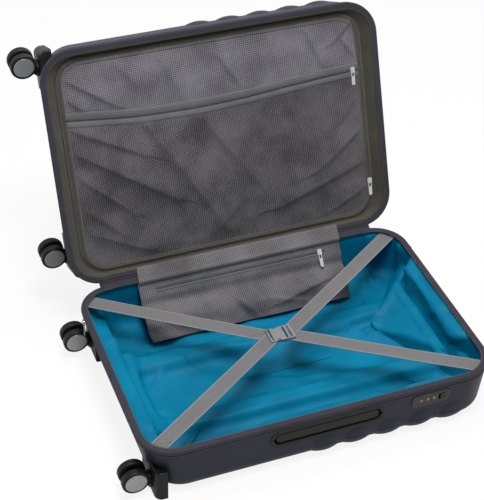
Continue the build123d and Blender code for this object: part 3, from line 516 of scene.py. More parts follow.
# ---------------------------------------------------------------- materials of the rigid pieces
# Each material with the starts of the names of its nodes
FINISHES = [
    (SHELL, ("base_shell", "lid_shell")),
    (BLACK, ("base_wheel_housings", "lid_wheel_housings", "caster_fork", "trolley_foot_bracket", "trolley_button")),
    (STEEL, ("base_housing_screws", "lid_housing_screws", "caster_axle")),
    (TUBE, ("trolley_outer_tubes", "trolley_inner_tubes")),
    (HANDLE, ("trolley_bezel", "trolley_grip", "handle_trays", "side_handle", "top_handle")),
    (TYRE, ("wheel_",)),
    (DISC, ("hub_disc",)),
    (LOCK, ("lock_case", "lock_latch")),
    (DIAL, ("lock_dial",)),
    (BUCKLE, ("buckle_socket", "buckle_plug")),
]
for name, obj in node.items():
    if "slider" in name:
        paint(obj, SLIDER)
    for finish, starts in FINISHES:
        if name.startswith(starts):
            paint(obj, finish)


# ---------------------------------------------------------------- rows along a path, by geometry nodes
def build_row_tree():
    """Small round bars at equal steps along a path; each lies along the path's own axis vector."""
    tree = bpy.data.node_groups.new("row_along_path", "GeometryNodeTree")
    face = tree.interface
    face.new_socket("Geometry", in_out="OUTPUT", socket_type="NodeSocketGeometry")
    sockets = [("Path", "Geometry")] + [(label, "Float") for label in ("Step", "Bar Length", "Bar Radius", "Flatten")]
    for label, kind in sockets + [("Finish", "Material")]:
        face.new_socket(label, in_out="INPUT", socket_type="NodeSocket" + kind)
    net = Net(tree)
    i, o = net.add("NodeGroupInput").outputs, net.add("NodeGroupOutput").inputs
    line = net.add("GeometryNodeMeshToCurve", Mesh=i["Path"])
    even = net.add("GeometryNodeResampleCurve", mode="LENGTH", Curve=line.outputs[0], Length=i["Step"])
    bar = net.add("GeometryNodeMeshCylinder", Vertices=6, Radius=i["Bar Radius"], Depth=i["Bar Length"])
    axis = net.add("GeometryNodeInputNamedAttribute", data_type="FLOAT_VECTOR", Name="axis")
    up = net.add("GeometryNodeInputNamedAttribute", data_type="FLOAT_VECTOR", Name="up")
    first = net.add("FunctionNodeAlignRotationToVector", axis="Z", Vector=axis.outputs[0])
    turn = net.add("FunctionNodeAlignRotationToVector", axis="X", pivot_axis="Z", Vector=up.outputs[0])
    net.put(turn.inputs["Rotation"], first.outputs[0])
    size = net.add("ShaderNodeCombineXYZ", X=i["Flatten"], Y=1.0, Z=1.0)
    place = net.add("GeometryNodeInstanceOnPoints", Points=even.outputs[0], Instance=bar.outputs["Mesh"])
    net.put(place.inputs["Rotation"], turn.outputs[0])
    net.put(place.inputs["Scale"], size.outputs[0])
    real = net.add("GeometryNodeRealizeInstances", Geometry=place.outputs[0])
    finish = net.add("GeometryNodeSetMaterial", Geometry=real.outputs[0], Material=i["Finish"])
    net.put(o["Geometry"], finish.outputs[0])
    return tree


ROW_TREE = build_row_tree()
# Bars of the zip coils and stitches: step, length, radius and the share of their height that is left
RIM_COIL, EDGE_COIL = (2.3, 2.9, 0.62, 1.0), (2.3, 4.2, 0.8, 0.8)
POCKET_COIL, FLAP_COIL = (1.9, 4.2, 0.75, 0.8), (1.9, 3.8, 0.7, 0.8)
RIM_STITCH, PANEL_STITCH = (5.0, 3.4, 0.3, 0.7), (4.6, 3.2, 0.3, 0.7)
FLAP_STITCH, STRAP_STITCH = (4.4, 3.0, 0.3, 0.7), (3.4, 2.5, 0.28, 0.7)


def row_along(name, paths, bar, material, *dressing):
    """A dressed row of bars along each path: (points, axes, ups, closed), in millimetres and unit vectors."""
    step, length, radius, flatten = bar
    verts, edges, axes, ups = [], [], [], []
    for points, axis, up, closed in paths:
        n0, n = len(verts), len(points)
        verts += [tuple(p) for p in np.asarray(points) / 1000.0]
        axes += [tuple(a) for a in np.broadcast_to(axis, (n, 3))]
        ups += [tuple(a) for a in np.broadcast_to(up, (n, 3))]
        edges += [(n0 + k, n0 + (k + 1) % n) for k in range(n if closed else n - 1)]
    mesh = bpy.data.meshes.new(name + "_path")
    mesh.from_pydata(verts, edges, [])
    for label, values in (("axis", axes), ("up", ups)):
        a = mesh.attributes.new(label, "FLOAT_VECTOR", "POINT")
        a.data.foreach_set("vector", np.array(values, np.float32).ravel())
    line = bpy.data.objects.new(name + "_path", mesh)
    scene.collection.objects.link(line)
    mod = line.modifiers.new("row", "NODES")
    mod.node_group = ROW_TREE
    values = {"Step": step / 1000, "Bar Length": length / 1000, "Bar Radius": radius / 1000}
    values.update({"Flatten": flatten, "Finish": material})
    for item in ROW_TREE.interface.items_tree:
        if item.in_out == "INPUT" and item.name in values:
            mod[item.identifier] = values[item.name]
    dg = bpy.context.evaluated_depsgraph_get()
    made = bpy.data.meshes.new_from_object(line.evaluated_get(dg))
    bpy.data.objects.remove(line)
    for label in ("axis", "up"):
        if label in made.attributes:
            made.attributes.remove(made.attributes[label])
    made.polygons.foreach_set("use_smooth", [len(p.vertices) == 4 for p in made.polygons])
    obj = bpy.data.objects.new(name, made)
    made.name = name
    scene.collection.objects.link(obj)
    return dress(obj, material, *dressing)


def unit(v):
    v = np.asarray(v, float)
    return v / np.maximum(np.linalg.norm(v, axis=-1, keepdims=True), 1e-9)


def tangents(points, closed):
    p = np.asarray(points, float)
    if closed:
        return unit(np.roll(p, -1, 0) - np.roll(p, 1, 0))
    return unit(np.gradient(p, axis=0))


def seam(line, up, closed=False):
    """A row of stitches along a line, for row_along."""
    return line, tangents(line, closed), up, closed


# ---------------------------------------------------------------- linings
def tub_room(p, inset):
    """How far points lie inside the tub that is moved in by inset, with its rounded bottom edge."""
    t = (RIM_Z - p[..., 2]) / (RIM_Z - FACE_Z)
    half_l = BODY_L / 2 - inset - t * (END_LEAN + SIDE_LEAN) / 2
    half_w = BODY_W / 2 - inset - t * SIDE_LEAN
    r = CORNER_R - inset
    qx = np.abs(p[..., 0] - t * (END_LEAN - SIDE_LEAN) / 2) - (half_l - r)
    qy = np.abs(p[..., 1]) - (half_w - r)
    flat = np.hypot(np.maximum(qx, 0), np.maximum(qy, 0)) + np.minimum(np.maximum(qx, qy), 0) - r
    a, b, e = -flat, p[..., 2] - (FACE_Z + inset), EDGE_R - inset
    return np.maximum(e, np.minimum(a, b)) - np.hypot(np.maximum(e - a, 0), np.maximum(e - b, 0))


def off_box(p, low, high):
    """How far points lie outside a block."""
    low, high = np.array(low, float), np.array(high, float)
    q = np.abs(p - (low + high) / 2) - (high - low) / 2
    return np.linalg.norm(np.maximum(q, 0), axis=-1) + np.minimum(q.max(axis=-1), 0)


def soft_least(a, b, k):
    h = np.maximum(k - np.abs(a - b), 0) / k
    return np.minimum(a, b) - h * h * k / 4


def off_planes(p, planes):
    """How far points lie outside a form with flat faces, each given by a point and its outward direction."""
    return np.max([(p - np.array(at, float)) @ unit(out) for at, out in planes], axis=0)


# The lining is laid outward from the middle of the packing space until it meets the tub or a form
CORE_X, CORE_Y, CORE_Z = (-190, 200), (-95, 95), 100.0
LAY_STEPS, LAY_SHARE, FORM_GAP = 80, 0.75, 1.6


def lining_points(forms, side, end, arc, wall_rings=40, floor_rings=52):
    """Points of a lining that hangs from the rim and lies over everything that stands into the shell."""
    rings = []
    e = EDGE_R - LINING_IN
    low = FACE_Z + LINING_IN
    for z in np.linspace(RIM_Z - 1.2, low + e, wall_rings):
        rings.append(ring(LINING_IN, z, side, end, arc))
    for a in np.linspace(0, math.pi / 2, 9)[1:]:
        rings.append(ring(LINING_IN + e * (1 - math.cos(a)), low + e * (1 - math.sin(a)), side, end, arc))
    last = BODY_W / 2 - SIDE_LEAN
    for w in np.linspace(LINING_IN + e, last, floor_rings + 1)[1:]:
        rings.append(ring(w, low, side, end, arc))
    goal = np.stack(rings)
    core_x, core_y = np.clip(goal[..., 0], *CORE_X), np.clip(goal[..., 1], *CORE_Y)
    start = np.stack([core_x, core_y, np.full(goal.shape[:2], CORE_Z)], -1)
    way = goal - start
    length = np.linalg.norm(way, axis=-1)
    way = way / np.maximum(length, 1e-6)[..., None]
    gone = np.zeros(goal.shape[:2])
    for _ in range(LAY_STEPS):
        p = start + way * gone[..., None]
        room = tub_room(p, LINING_IN)
        for shape, drape in forms:
            away = off_box(p, *shape) if len(shape) == 2 else off_planes(p, shape)
            room = soft_least(room, away - FORM_GAP, drape)
        gone = np.minimum(gone + np.maximum(room, 0) * LAY_SHARE, length)
    out = start + way * gone[..., None]
    out[0] = goal[0]
    return out


def grid_normals(p, wrap_u=True):
    du = (np.roll(p, -1, 1) - np.roll(p, 1, 1)) if wrap_u else np.gradient(p, axis=1)
    dv = np.gradient(p, axis=0)
    return unit(np.cross(du, dv))


TENT_BACK, TENT_TIP, TENT_FRONT = (302.0, 118.0, 50.0), (223.0, 52.0, 12.0), (313.0, -106.0, 54.0)


def side_of(a, b, lean):
    """The outward direction of a face that leans back from the edge a-b, on the left of its run."""
    a, b = np.array(a), np.array(b)
    along = unit(b - a)
    out = unit([along[1], -along[0], 0.0]) + np.array([0, 0, lean])
    return unit(out - (out @ along) * along)


TENT_TOP = np.cross(np.array(TENT_TIP) - TENT_BACK, np.array(TENT_FRONT) - TENT_BACK)
# What stands into the base: wheel ledge, trolley tubes, foot bracket, bezel, two handle trays, lock and a tent of
# loose cloth. A block reaches far past the wall, and the last number is how softly the lining drapes over it.
BASE_FORMS = [
    (((-500, -400, -50), (LEDGE_X, 400, LEDGE_TOP)), 26),
    (((-500, -TUBE_Y - TUBE_HALF, -50), (500, -TUBE_Y + TUBE_HALF, TUBE_TOP)), 30),
    (((-500, TUBE_Y - TUBE_HALF, -50), (500, TUBE_Y + TUBE_HALF, TUBE_TOP)), 30),
    (((-500, -104, -50), (-269.7, 104, 30.5)), 24),
    (((292, -113, -50), (500, 113, 46)), 16),
    (((-107, -400, 61), (107, -201.9, 97)), 48),
    (((311.9, -107, 61), (500, 107, 97)), 28),
    (((163, -400, 69), (241, -206.1, 99)), 48),
    (
        [
            (TENT_BACK, TENT_TOP),
            (TENT_TIP, side_of(TENT_BACK, TENT_TIP, 0.5)),
            (TENT_TIP, side_of(TENT_TIP, TENT_FRONT, 0.3)),
        ],
        5,
    ),
]


def inward(p):
    """Unit vectors that point from the lining into the packing space."""
    n = grid_normals(p)
    return n * (1.0 if n[-8:, :, 2].mean() > 0 else -1.0)


# Folds of the base lining: two ends, the side it fades to, widths on that side and on the sharp side, height
BASE_FOLDS = [
    ((223, 51, 14), (313, -106, 54), (1, 0.4, 0), 10, 4, 4.0),
    ((224, 54, 14), (302, 118, 50), (1, -1, 0), 10, 4, 4.0),
    ((276, 222, 108), (276, 200, 24), (1, 0, 0), 26, 3.5, 9.0),
    ((300, 208, 106), (288, 180, 22), (1, -0.4, 0), 16, 4, 9.0),
    ((322, 176, 106), (310, 160, 40), (0.2, -1, 0), 20, 4, 12.0),
    ((258, 180, 12), (279, 205, 30), (1, 0.2, 0), 12, 4, 7.0),
    ((330, 120, 108), (318, 86, 66), (0, -1, 0), 16, 5, 6.0),
    ((330, -40, 108), (320, -20, 74), (0, 1, 0), 18, 6, 6.0),
    ((330, -120, 108), (322, -96, 78), (0, 1, 0), 14, 5, 5.0),
    ((223, 52, 13), (200, 24, 11), (0.5, -0.5, 0), 10, 4, 6.0),
    ((222, 56, 13), (192, 48, 11), (0, 1, 0), 10, 4, 5.0), ((227, 46, 13), (221, 18, 11), (1, 0, 0), 9, 4, 5.0),
    ((-126, 4, 12), (125, -52, 14), (0, -1, 0), 22, 6, 6.0),
    ((125, -52, 14), (250, -78, 20), (0, -1, 0), 22, 6, 6.0),
    ((-250, 112, 12), (40, 62, 14), (0, -1, 0), 24, 6, 6.0),
    ((40, 62, 14), (210, 76, 16), (0, -1, 0), 20, 6, 5.0),
    ((-300, 128, 74), (-262, 92, 16), (0.4, -1, 0), 16, 5, 7.0),
    ((-255, 205, 28), (-245, 176, 14), (1, 0, 0), 14, 8, 11.0),
    ((-290, 200, 90), (-262, 190, 30), (1, 0, 0), 12, 5, 8.0),
    ((60, -170, 12), (210, -120, 12), (0, -1, 0), 20, 7, 4.0),
    ((-180, -150, 12), (-40, -120, 12), (0, -1, 0), 20, 8, 4.0),
    ((-250, -170, 14), (-205, -60, 12), (1, 0, 0), 20, 8, 4.0),
    ((60, 128, 12), (200, 36, 12), (0, -1, 0), 18, 7, 4.0),
    ((-255, 30, 20), (-210, 70, 12), (1, -1, 0), 18, 6, 5.0),
    ((-262, -30, 24), (-215, -60, 12), (1, 1, 0), 18, 6, 4.0),
    ((-298, -120, 70), (-266, -90, 14), (0.4, 1, 0), 16, 6, 6.0),
]  # fmt: skip


def pleat(points, a, b, toward, wide, tight, height):
    """A lopsided fold along a-b that falls away gently on one side and sharply on the other."""
    a, b = np.array(a, float), np.array(b, float)
    d = b - a
    t = np.clip(((points - a) @ d) / (d @ d), 0, 1)
    off = points - a - t[..., None] * d
    width = tight + (wide - tight) * smooth_step(off @ unit(toward), -2.5, 2.5)
    ends = np.sin(np.pi * np.clip(0.14 + 0.72 * t, 0, 1)) ** 0.7
    return height * ends * np.exp(-((np.linalg.norm(off, axis=-1) / width) ** 1.5))


def base_lining_folds(p):
    """Height of the folds of the base lining at its points."""
    depth = smooth_step(RIM_Z - p[..., 2], 1.0, 16.0)
    h = 1.4 * (noise(p, 95, 3) + 1) + 0.9 * (1 - np.abs(noise(p, 46, 5)))
    wander = p + 4.0 * np.stack([noise(p, 34, 7), noise(p, 34, 8), noise(p, 34, 9)], axis=-1)
    for a, b, toward, wide, tight, height in BASE_FOLDS:
        h += pleat(wander, a, b, toward, wide, tight, height)
    slack = smooth_step(p[..., 0], 190, 300) * 0.8 + 0.2
    h += slack * (2.6 * (1 - np.abs(noise(p * [1.0, 1.0, 0.45], 44, 15))) + 1.2 * noise(p, 24, 16))
    return h * depth


def build_lining(name, forms, folds, lift, side=64, end=44, arc=14):
    p = lining_points(forms, side, end, arc)
    h = folds(p)
    p = p + inward(p) * np.maximum(h, 0)[..., None]
    if lift:
        p = lifted(p)
    obj = grid_object(name, p.transpose(1, 0, 2), wrap_u=True, flip=not lift)
    merge_close(obj)
    thicken(obj, 0.5, 1.0)
    return finish_mesh(obj)


base_lining = build_lining("base_lining_cloth", BASE_FORMS, base_lining_folds, False, 96, 66, 20)
dress(base_lining, SATIN, "base", "lining_teal", "base_lining")


def lid_lining_folds(p):
    return 1.2 * (noise(p, 80, 8) + 1) * smooth_step(RIM_Z - p[..., 2], 4, 30)


lid_lining = build_lining("lid_lining_cloth", BASE_FORMS[:1], lid_lining_folds, True)
dress(lid_lining, SATIN, "lid", "lining_teal", "lid_lining")

# ---------------------------------------------------------------- rims: rolled tape, zip coil and stitches
RIM_PROFILE = [
    (1.0, 101.8), (0.1, 101.7), (-0.35, 102.6), (-0.5, 104.0), (-0.45, 105.3), (0.9, 105.9), (0.9, 107.2),
    (-0.5, 107.8), (-0.6, 109.5), (-0.4, 112.6), (0.3, 114.5), (1.5, 115.28), (3.4, 115.38), (5.6, 115.3),
    (8.4, 115.1), (10.6, 114.9), (11.5, 114.4), (11.6, 113.8), (11.0, 113.3), (9.0, 113.3), (6.2, 113.2),
    (4.6, 112.6), (4.45, 114.6), (4.2, 115.08), (1.2, 115.08), (1.02, 114.4),
]  # fmt: skip


def run_length(p):
    """Distance along a row of points."""
    step = np.linalg.norm(np.diff(p, axis=0), axis=-1)
    return np.concatenate([[0], np.cumsum(step)])


def band_uv(along, across):
    """Places on the flat pattern of a band, in metres, from a line along it and a line across it."""
    return np.stack(np.meshgrid(run_length(along) / 1000, run_length(across) / 1000, indexing="ij"), axis=-1)


def sweep(name, profile, lift):
    """A closed profile of (inset, height) points carried around the rim."""
    p = np.stack([ring(w, z) for w, z in profile], axis=1)
    uv = band_uv(p[:, 0], np.array(profile))
    return grid_object(name, lifted(p) if lift else p, uv, wrap_u=True, wrap_v=True, flip=lift)


def rim_path(inset, z, lift):
    """Points along the rim, open at the hinge, with their inward and outward directions."""
    p, inner = ring(inset, z), ring(inset + 2.0, z)
    keep = ~((np.abs(p[:, 0]) < HINGE_LEN / 2) & (p[:, 1] > 0))
    first = int(np.where(~keep)[0].max()) + 1
    order = np.roll(np.arange(len(p)), -first)
    order = order[keep[order]]
    p, inner = p[order], inner[order]
    across = unit(inner - p)
    if lift:
        base = lifted(p)
        return base, unit(lifted(p + across) - base), unit(lifted(p + [0, 0, 1.0]) - base)
    return p, across, np.tile([0.0, 0.0, 1.0], (len(p), 1))


# Inset and height of the zip coil and of the two seams on the rim tape
RIM_COIL_AT, OUTER_SEAM_AT, TOP_SEAM_AT = (11.9, 114.3), (-0.6, 103.6), (8.8, 115.1)
RIM_TAPES = []
for half, lift in (("base", False), ("lid", True)):
    roll_tape = sweep(half + "_rim_tape", RIM_PROFILE, lift)
    dress(roll_tape, TAPE, half, "tape_navy", half + "_zip_tape")
    coil_path = (*rim_path(*RIM_COIL_AT, lift), False)
    coil = row_along(half + "_zip_coil", [coil_path], RIM_COIL, COIL, half, "tape_navy")
    outer, outer_in, _ = rim_path(*OUTER_SEAM_AT, lift)
    top, _, top_up = rim_path(*TOP_SEAM_AT, lift)
    rows = [seam(outer, outer_in), seam(top, top_up)]
    sewn = row_along(half + "_rim_stitches", rows, RIM_STITCH, THREAD, half, "tape_navy")
    RIM_TAPES.append((half, roll_tape, [coil, sewn]))

# ---------------------------------------------------------------- cloth hinge on the back
HINGE_THICK = 0.8


def yz_sheet(name, line, half_left, half_right, columns, puff=None):
    """A sheet whose cross section is a line of (y, z) points, run along X."""
    line = np.array(line, float)
    s = run_length(line)
    fine = np.linspace(0, s[-1], 4 * len(line))
    smooth = np.column_stack([np.interp(fine, s, line[:, k]) for k in (0, 1)])
    for _ in range(3):
        smooth[1:-1] = (smooth[:-2] + 2 * smooth[1:-1] + smooth[2:]) / 4
    t = np.linspace(0, 1, len(fine))
    ends = zip(np.interp(t, [0, 1], half_left), np.interp(t, [0, 1], half_right))
    x = np.stack([np.linspace(-left, right, columns) for left, right in ends], axis=1)
    p = np.stack([x, np.broadcast_to(smooth[:, 0], x.shape), np.broadcast_to(smooth[:, 1], x.shape)], axis=-1)
    n = unit(np.column_stack([np.zeros(len(t)), -np.gradient(smooth[:, 1]), np.gradient(smooth[:, 0])]))
    if puff is not None:
        p = p + n[None] * puff(p, t)[..., None]
    uv = np.stack([x / 1000, np.broadcast_to(fine / 1000, x.shape)], axis=-1)
    return grid_object(name, p, uv)


def lid_yz(y, z):
    return tuple(lifted(np.array([0.0, y, z]))[1:])


back_line = [(229.9, 102.3), (229.9, 108), (230.0, 113.0), (231.0, 115.9), (232.6, 116.6), (234.4, 117.3)]
back_line += [lid_yz(229.9, 113), lid_yz(229.9, 108), lid_yz(229.9, 102.3)]
hinge_back = yz_sheet("hinge_cloth_back", back_line, (259, 259), (259, 259), 60)
lay_cloth(hinge_back, HINGE_THICK, 0.0, TAPE, None, "tape_navy", "hinge_strip")
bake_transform(hinge_back)
front_line = [(219.6, 114.2), (221.5, 115.5), (225.0, 116.0), (229.0, 116.3), (232.0, 118.6)]
front_line += [lid_yz(229.0, 116.4), lid_yz(225.0, 116.1), lid_yz(220.5, 115.6), lid_yz(217.5, 113.6)]


def ridged(p, t):
    return 0.55 * np.cos(t * 2 * math.pi * 5) * np.sin(np.pi * t)


hinge_front = yz_sheet("hinge_cloth_front", front_line, (286, 286), (286, 286), 60, ridged)
lay_cloth(hinge_front, HINGE_THICK, 0.0, TAPE, None, "tape_navy")
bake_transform(hinge_front)

# ---------------------------------------------------------------- divider panel of the lid
FACE_HALF_L, FACE_HALF_W, FACE_R, FACE_LEVEL = 302.0, 206.0, 47.0, 98.9
EDGE_ZIP = (303.3, 206.0, 47.0)
PANEL_THICK, HEM_THICK, ZIP_THICK = 0.8, 0.7, 0.6
HEM_WIDE, ZIP_GAP = 11.0, 1.5
ON_PANEL = ("lid_panel", "panel_grey")
UP = np.array([0, 0, 1.0])
ZIP_X = np.array([-330.0, -306.0, -165.0, -54.0, 51.0, 153.0, 241.0, 313.0, 340.0])
ZIP_Y = np.array([-98.0, -96.0, -80.0, -76.0, -78.0, -85.0, -90.0, -92.0, -92.0])
# Folds of the panel: two ends, the side each fades to, widths on that side and on the sharp side, height
LOW_FOLDS = [
    (-310, -84, -150, 0, 0.5, -1, 26, 7, 7.0), (-308, -40, -105, 95, 0.5, -1, 30, 7, 8.0),
    (-300, 10, -190, 110, 0.6, -1, 24, 7, 6.0),
    (-300, 70, -215, 150, 0.6, -1, 20, 7, 5.0), (-150, -68, -10, 175, 1, -0.5, 42, 10, 8.0),
    (-40, -62, 60, 90, 1, -0.6, 44, 10, 6.0),
    (316, 10, 190, 96, -0.4, -1, 34, 7, 9.0), (300, 92, 100, 156, -0.2, -1, 36, 8, 9.0),
    (312, 140, 200, 192, -0.4, -1, 18, 6, 6.0),
    (130, -76, 196, 70, 1, -0.3, 30, 9, 4.5), (312, -62, 238, 14, -0.6, -1, 22, 7, 5.0),
    (-70, 204, 30, 124, 0.5, -1, 26, 9, 4.0),
    (-292, 128, -150, 196, 0.4, -1, 22, 8, 5.0),
]  # fmt: skip
HIGH_FOLDS = [
    (10, -172, 50, -104, 1, 0.3, 22, 5, 5.5), (268, -160, 306, -100, 1, -0.4, 14, 5, 6.0),
    (190, -196, 226, -112, 1, -0.2, 22, 6, 6.0),
    (-298, -176, -196, -104, 0.5, -1, 24, 5, 5.5), (-310, -150, -260, -104, 0.6, -1, 14, 4, 5.0),
    (-110, -198, -70, -106, 1, 0.2, 26, 7, 4.0),
    (120, -200, 104, -118, -1, 0.2, 20, 6, 4.0), (300, -196, 244, -150, -0.6, -1, 12, 4, 5.0),
    (-200, -200, -150, -128, 1, 0, 22, 7, 3.5),
]  # fmt: skip


def zip_y(x):
    """Height of the sagging pocket zip on the panel."""
    fine = np.linspace(ZIP_X[0], ZIP_X[-1], 300)
    y = np.interp(fine, ZIP_X, ZIP_Y)
    for _ in range(120):
        y[1:-1] = (y[:-2] + 2 * y[1:-1] + y[2:]) / 4
    return np.interp(x, fine, y)


def flat_pleats(p, folds):
    """Height of the folds that a table lists, on a cloth laid out flat."""
    total = np.zeros(p.shape[:-1])
    for x0, y0, x1, y1, tx, ty, wide, tight, h in folds:
        total += pleat(p, (x0, y0, 0), (x1, y1, 0), (tx, ty, 0), wide, tight, h)
    return total


def panel_level(x, y):
    """Height of the panel cloth over its frame plane, on the packing side."""
    p = np.stack([x, y, np.zeros_like(x)], axis=-1)
    edge = np.minimum(FACE_HALF_L - np.abs(x), FACE_HALF_W - np.abs(y))
    free = smooth_step(edge, 0, 26)
    off_zip = np.abs(y - zip_y(x))
    slack = smooth_step(off_zip, 6, 24) * 0.8 + 0.2
    low = flat_pleats(p, LOW_FOLDS)
    low += 2.6 * noise(p, 120, 11) + 1.4 * noise(p, 48, 12) + 0.5 * noise(p, 21, 13)
    high = flat_pleats(p, HIGH_FOLDS)
    high += 2.0 * noise(p * [1.0, 0.6, 1.0], 80, 21) + 1.0 * noise(p * [1.0, 0.5, 1.0], 33, 22)
    pucker = 0.7 * np.cos(x / 11.0 * 2 * math.pi + 2 * noise(p, 40, 5)) * np.exp(-np.maximum(edge, 0) / 16.0)
    below = smooth_step(y - zip_y(x), -4, 4)
    level = (low * below + high * (1 - below)) * free * slack + pucker * (1 - below) * 0.8 + pucker * below * 0.5
    crown = 3.0 * (1 - (x / 320) ** 2) * (1 - (y / 215) ** 2)
    return FACE_LEVEL + crown * free + level


def face_edge(x):
    """Half width of the rounded panel face at x."""
    past = np.clip(np.abs(x) - (FACE_HALF_L - FACE_R), 0, FACE_R)
    return FACE_HALF_W - FACE_R + np.sqrt(np.maximum(FACE_R**2 - past**2, 0))


def face_patch(name, low_edge, high_edge, columns, rows, over=0.0):
    """Cloth between two lines y(x) of the panel face, raised over it."""
    a = np.linspace(-1, 1, columns)
    x1 = FACE_HALF_L * (0.55 * a + 0.45 * np.sin(a * math.pi / 2))
    t = np.linspace(0, 1, rows)
    y = low_edge(x1)[:, None] * (1 - t) + high_edge(x1)[:, None] * t
    x = np.broadcast_to(x1[:, None], y.shape)
    p = np.stack([x, y, panel_level(x, y) + over], axis=-1)
    uv = np.stack([x / 1000, y / 1000], axis=-1)
    return grid_object(name, lifted(p), uv, flip=True)


panel_low = face_patch("panel_pocket_cloth", lambda x: zip_y(x) + ZIP_GAP, face_edge, 200, 124)
lay_cloth(panel_low, PANEL_THICK, -1.0, PANEL_LOW, *ON_PANEL, "lid_panel")
panel_high = face_patch("panel_upper_cloth", lambda x: -face_edge(x), lambda x: zip_y(x) - ZIP_GAP, 190, 60)
lay_cloth(panel_high, PANEL_THICK, -1.0, PANEL_UP, *ON_PANEL)
hem = face_patch("panel_upper_hem", lambda x: -face_edge(x), lambda x: HEM_WIDE - face_edge(x), 190, 8, 0.9)
lay_cloth(hem, HEM_THICK, -1.0, HEM, *ON_PANEL)


def panel_band(name, rings, material):
    p = np.stack(rings, axis=1)
    obj = grid_object(name, lifted(p), band_uv(p[:, 0], p[0]), wrap_u=True, flip=True)
    return lay_cloth(obj, PANEL_THICK, -1.0, material, *ON_PANEL)


def edge_line(out, over, most=math.inf):
    """A line beside the panel's edge zip: out from it, at the sides by no more than most, and over the face."""
    half_l, half_w, r = EDGE_ZIP
    return round_box(half_l + out, half_w + min(out, most), r + out, FACE_LEVEL + over)


def on_lid(points, *directions):
    """Points and directions of the closed lid, moved to the open lid."""
    p = lifted(points)
    return [p] + [unit(lifted(points + d) - p) for d in directions]


slope = []
for k in range(9):
    t = k / 8
    w = 12.5 + 3.3 * t
    end = 12.5 + 16.5 * t
    sag = 1.0 * math.sin(math.pi * t)
    r = round_box(BODY_L / 2 - end, BODY_W / 2 - w, CORNER_R - w, RIM_Z - 1.8 - (PANEL_DEPTH - 1.6) * t + sag)
    slope.append(r + np.array([0, 0, 0.5]) * noise(r, 26, 31)[:, None])
slope.append(round_box(308, 209, 49, FACE_LEVEL - 0.4))
slope.append(round_box(FACE_HALF_L - 5, FACE_HALF_W - 5, FACE_R - 5, FACE_LEVEL - 0.2))
gusset = panel_band("panel_border_cloth", slope, GUSSET)
EDGE_PROFILE = [(6.5, 0.4), (5.5, 1.0), (3, 1.3), (1.8, 1.4), (-1.8, 1.4), (-3, 1.3), (-5.5, 1.2), (-6.5, 0.4)]
edge_tape = panel_band("panel_edge_zip_tape", [edge_line(out, over, 4) for out, over in EDGE_PROFILE], EDGE_TAPE)
path, inner = edge_line(0, 1.9), edge_line(-2, 1.9)
coil_path = (*on_lid(path, unit(inner - path), UP), True)
edge_coil = row_along("panel_edge_zip_coil", [coil_path], EDGE_COIL, COIL, *ON_PANEL)

# Pocket zip across the panel
zip_cols = np.linspace(-FACE_HALF_L + 3, FACE_HALF_L - 3, 150)
offsets = np.array([-14.0, -13.2, -9, -4, -2.4, 2.4, 4, 9, 13.2, 14.0])
rise = np.array([0.1, 1.1, 1.3, 1.4, 0.6, 0.6, 1.4, 1.3, 1.1, 0.1])
x = np.broadcast_to(zip_cols[:, None], (len(zip_cols), len(offsets)))
y = zip_y(x) + offsets[None]
p = np.stack([x, y, panel_level(x, y) + rise[None]], axis=-1)
uv = np.stack([x / 1000, (y - zip_y(x)) / 1000], axis=-1)
pocket_tape = grid_object("panel_pocket_zip_tape", lifted(p), uv, flip=True)
lay_cloth(pocket_tape, ZIP_THICK, -1.0, ZIP_TAPE, *ON_PANEL)


def zip_line(beside, over):
    """A line beside the pocket zip, over the panel cloth."""
    y = zip_y(zip_cols) + beside
    return np.column_stack([zip_cols, y, panel_level(zip_cols, y) + over])


coil_path = (*on_lid(zip_line(0.0, 1.3), np.array([0, 1.0, 0]), UP), False)
pocket_coil = row_along("panel_pocket_zip_coil", [coil_path], POCKET_COIL, COIL_GREY, *ON_PANEL)
rows = [seam(*on_lid(zip_line(beside, 1.35), UP)) for beside in (-11.4, 11.4)]
pocket_sewn = row_along("panel_pocket_stitches", rows, PANEL_STITCH, THREAD_GREY, *ON_PANEL)
rows = [seam(*on_lid(edge_line(out, 1.4, 3), UP), True) for out in (-5.0, 4.6)]
edge_sewn = row_along("panel_edge_stitches", rows, PANEL_STITCH, THREAD_GREY, *ON_PANEL)

# ---------------------------------------------------------------- pocket flap at the hinge
FLAP_LEN = math.hypot(FLAP_RUN, FLAP_FALL)
FLAP_DOWN = np.array([0, -FLAP_RUN, -FLAP_FALL]) / FLAP_LEN
FLAP_OUT = np.array([0, -FLAP_FALL, FLAP_RUN]) / FLAP_LEN
FLAP_WAVES, FLAP_WAVE_H = 7, 5.0
FLAP_ZIP_RUN = 18.0
FLAP_THICK, FLAP_ZIP_THICK, FLAP_TOP_THICK = 1.0, 0.5, 0.9
ON_FLAP = ("pocket_flap", "flap_grey")
FLAP_FOLDS = [
    (205, 64, 60, 100, -0.3, -1, 22, 5, 7.0), (150, 116, 40, 84, 0, 1, 16, 5, 5.0),
    (-205, 52, -110, 112, 1, -0.6, 24, 5, 6.0), (-30, 60, 16, 116, 1, 0, 20, 6, 5.0),
]  # fmt: skip


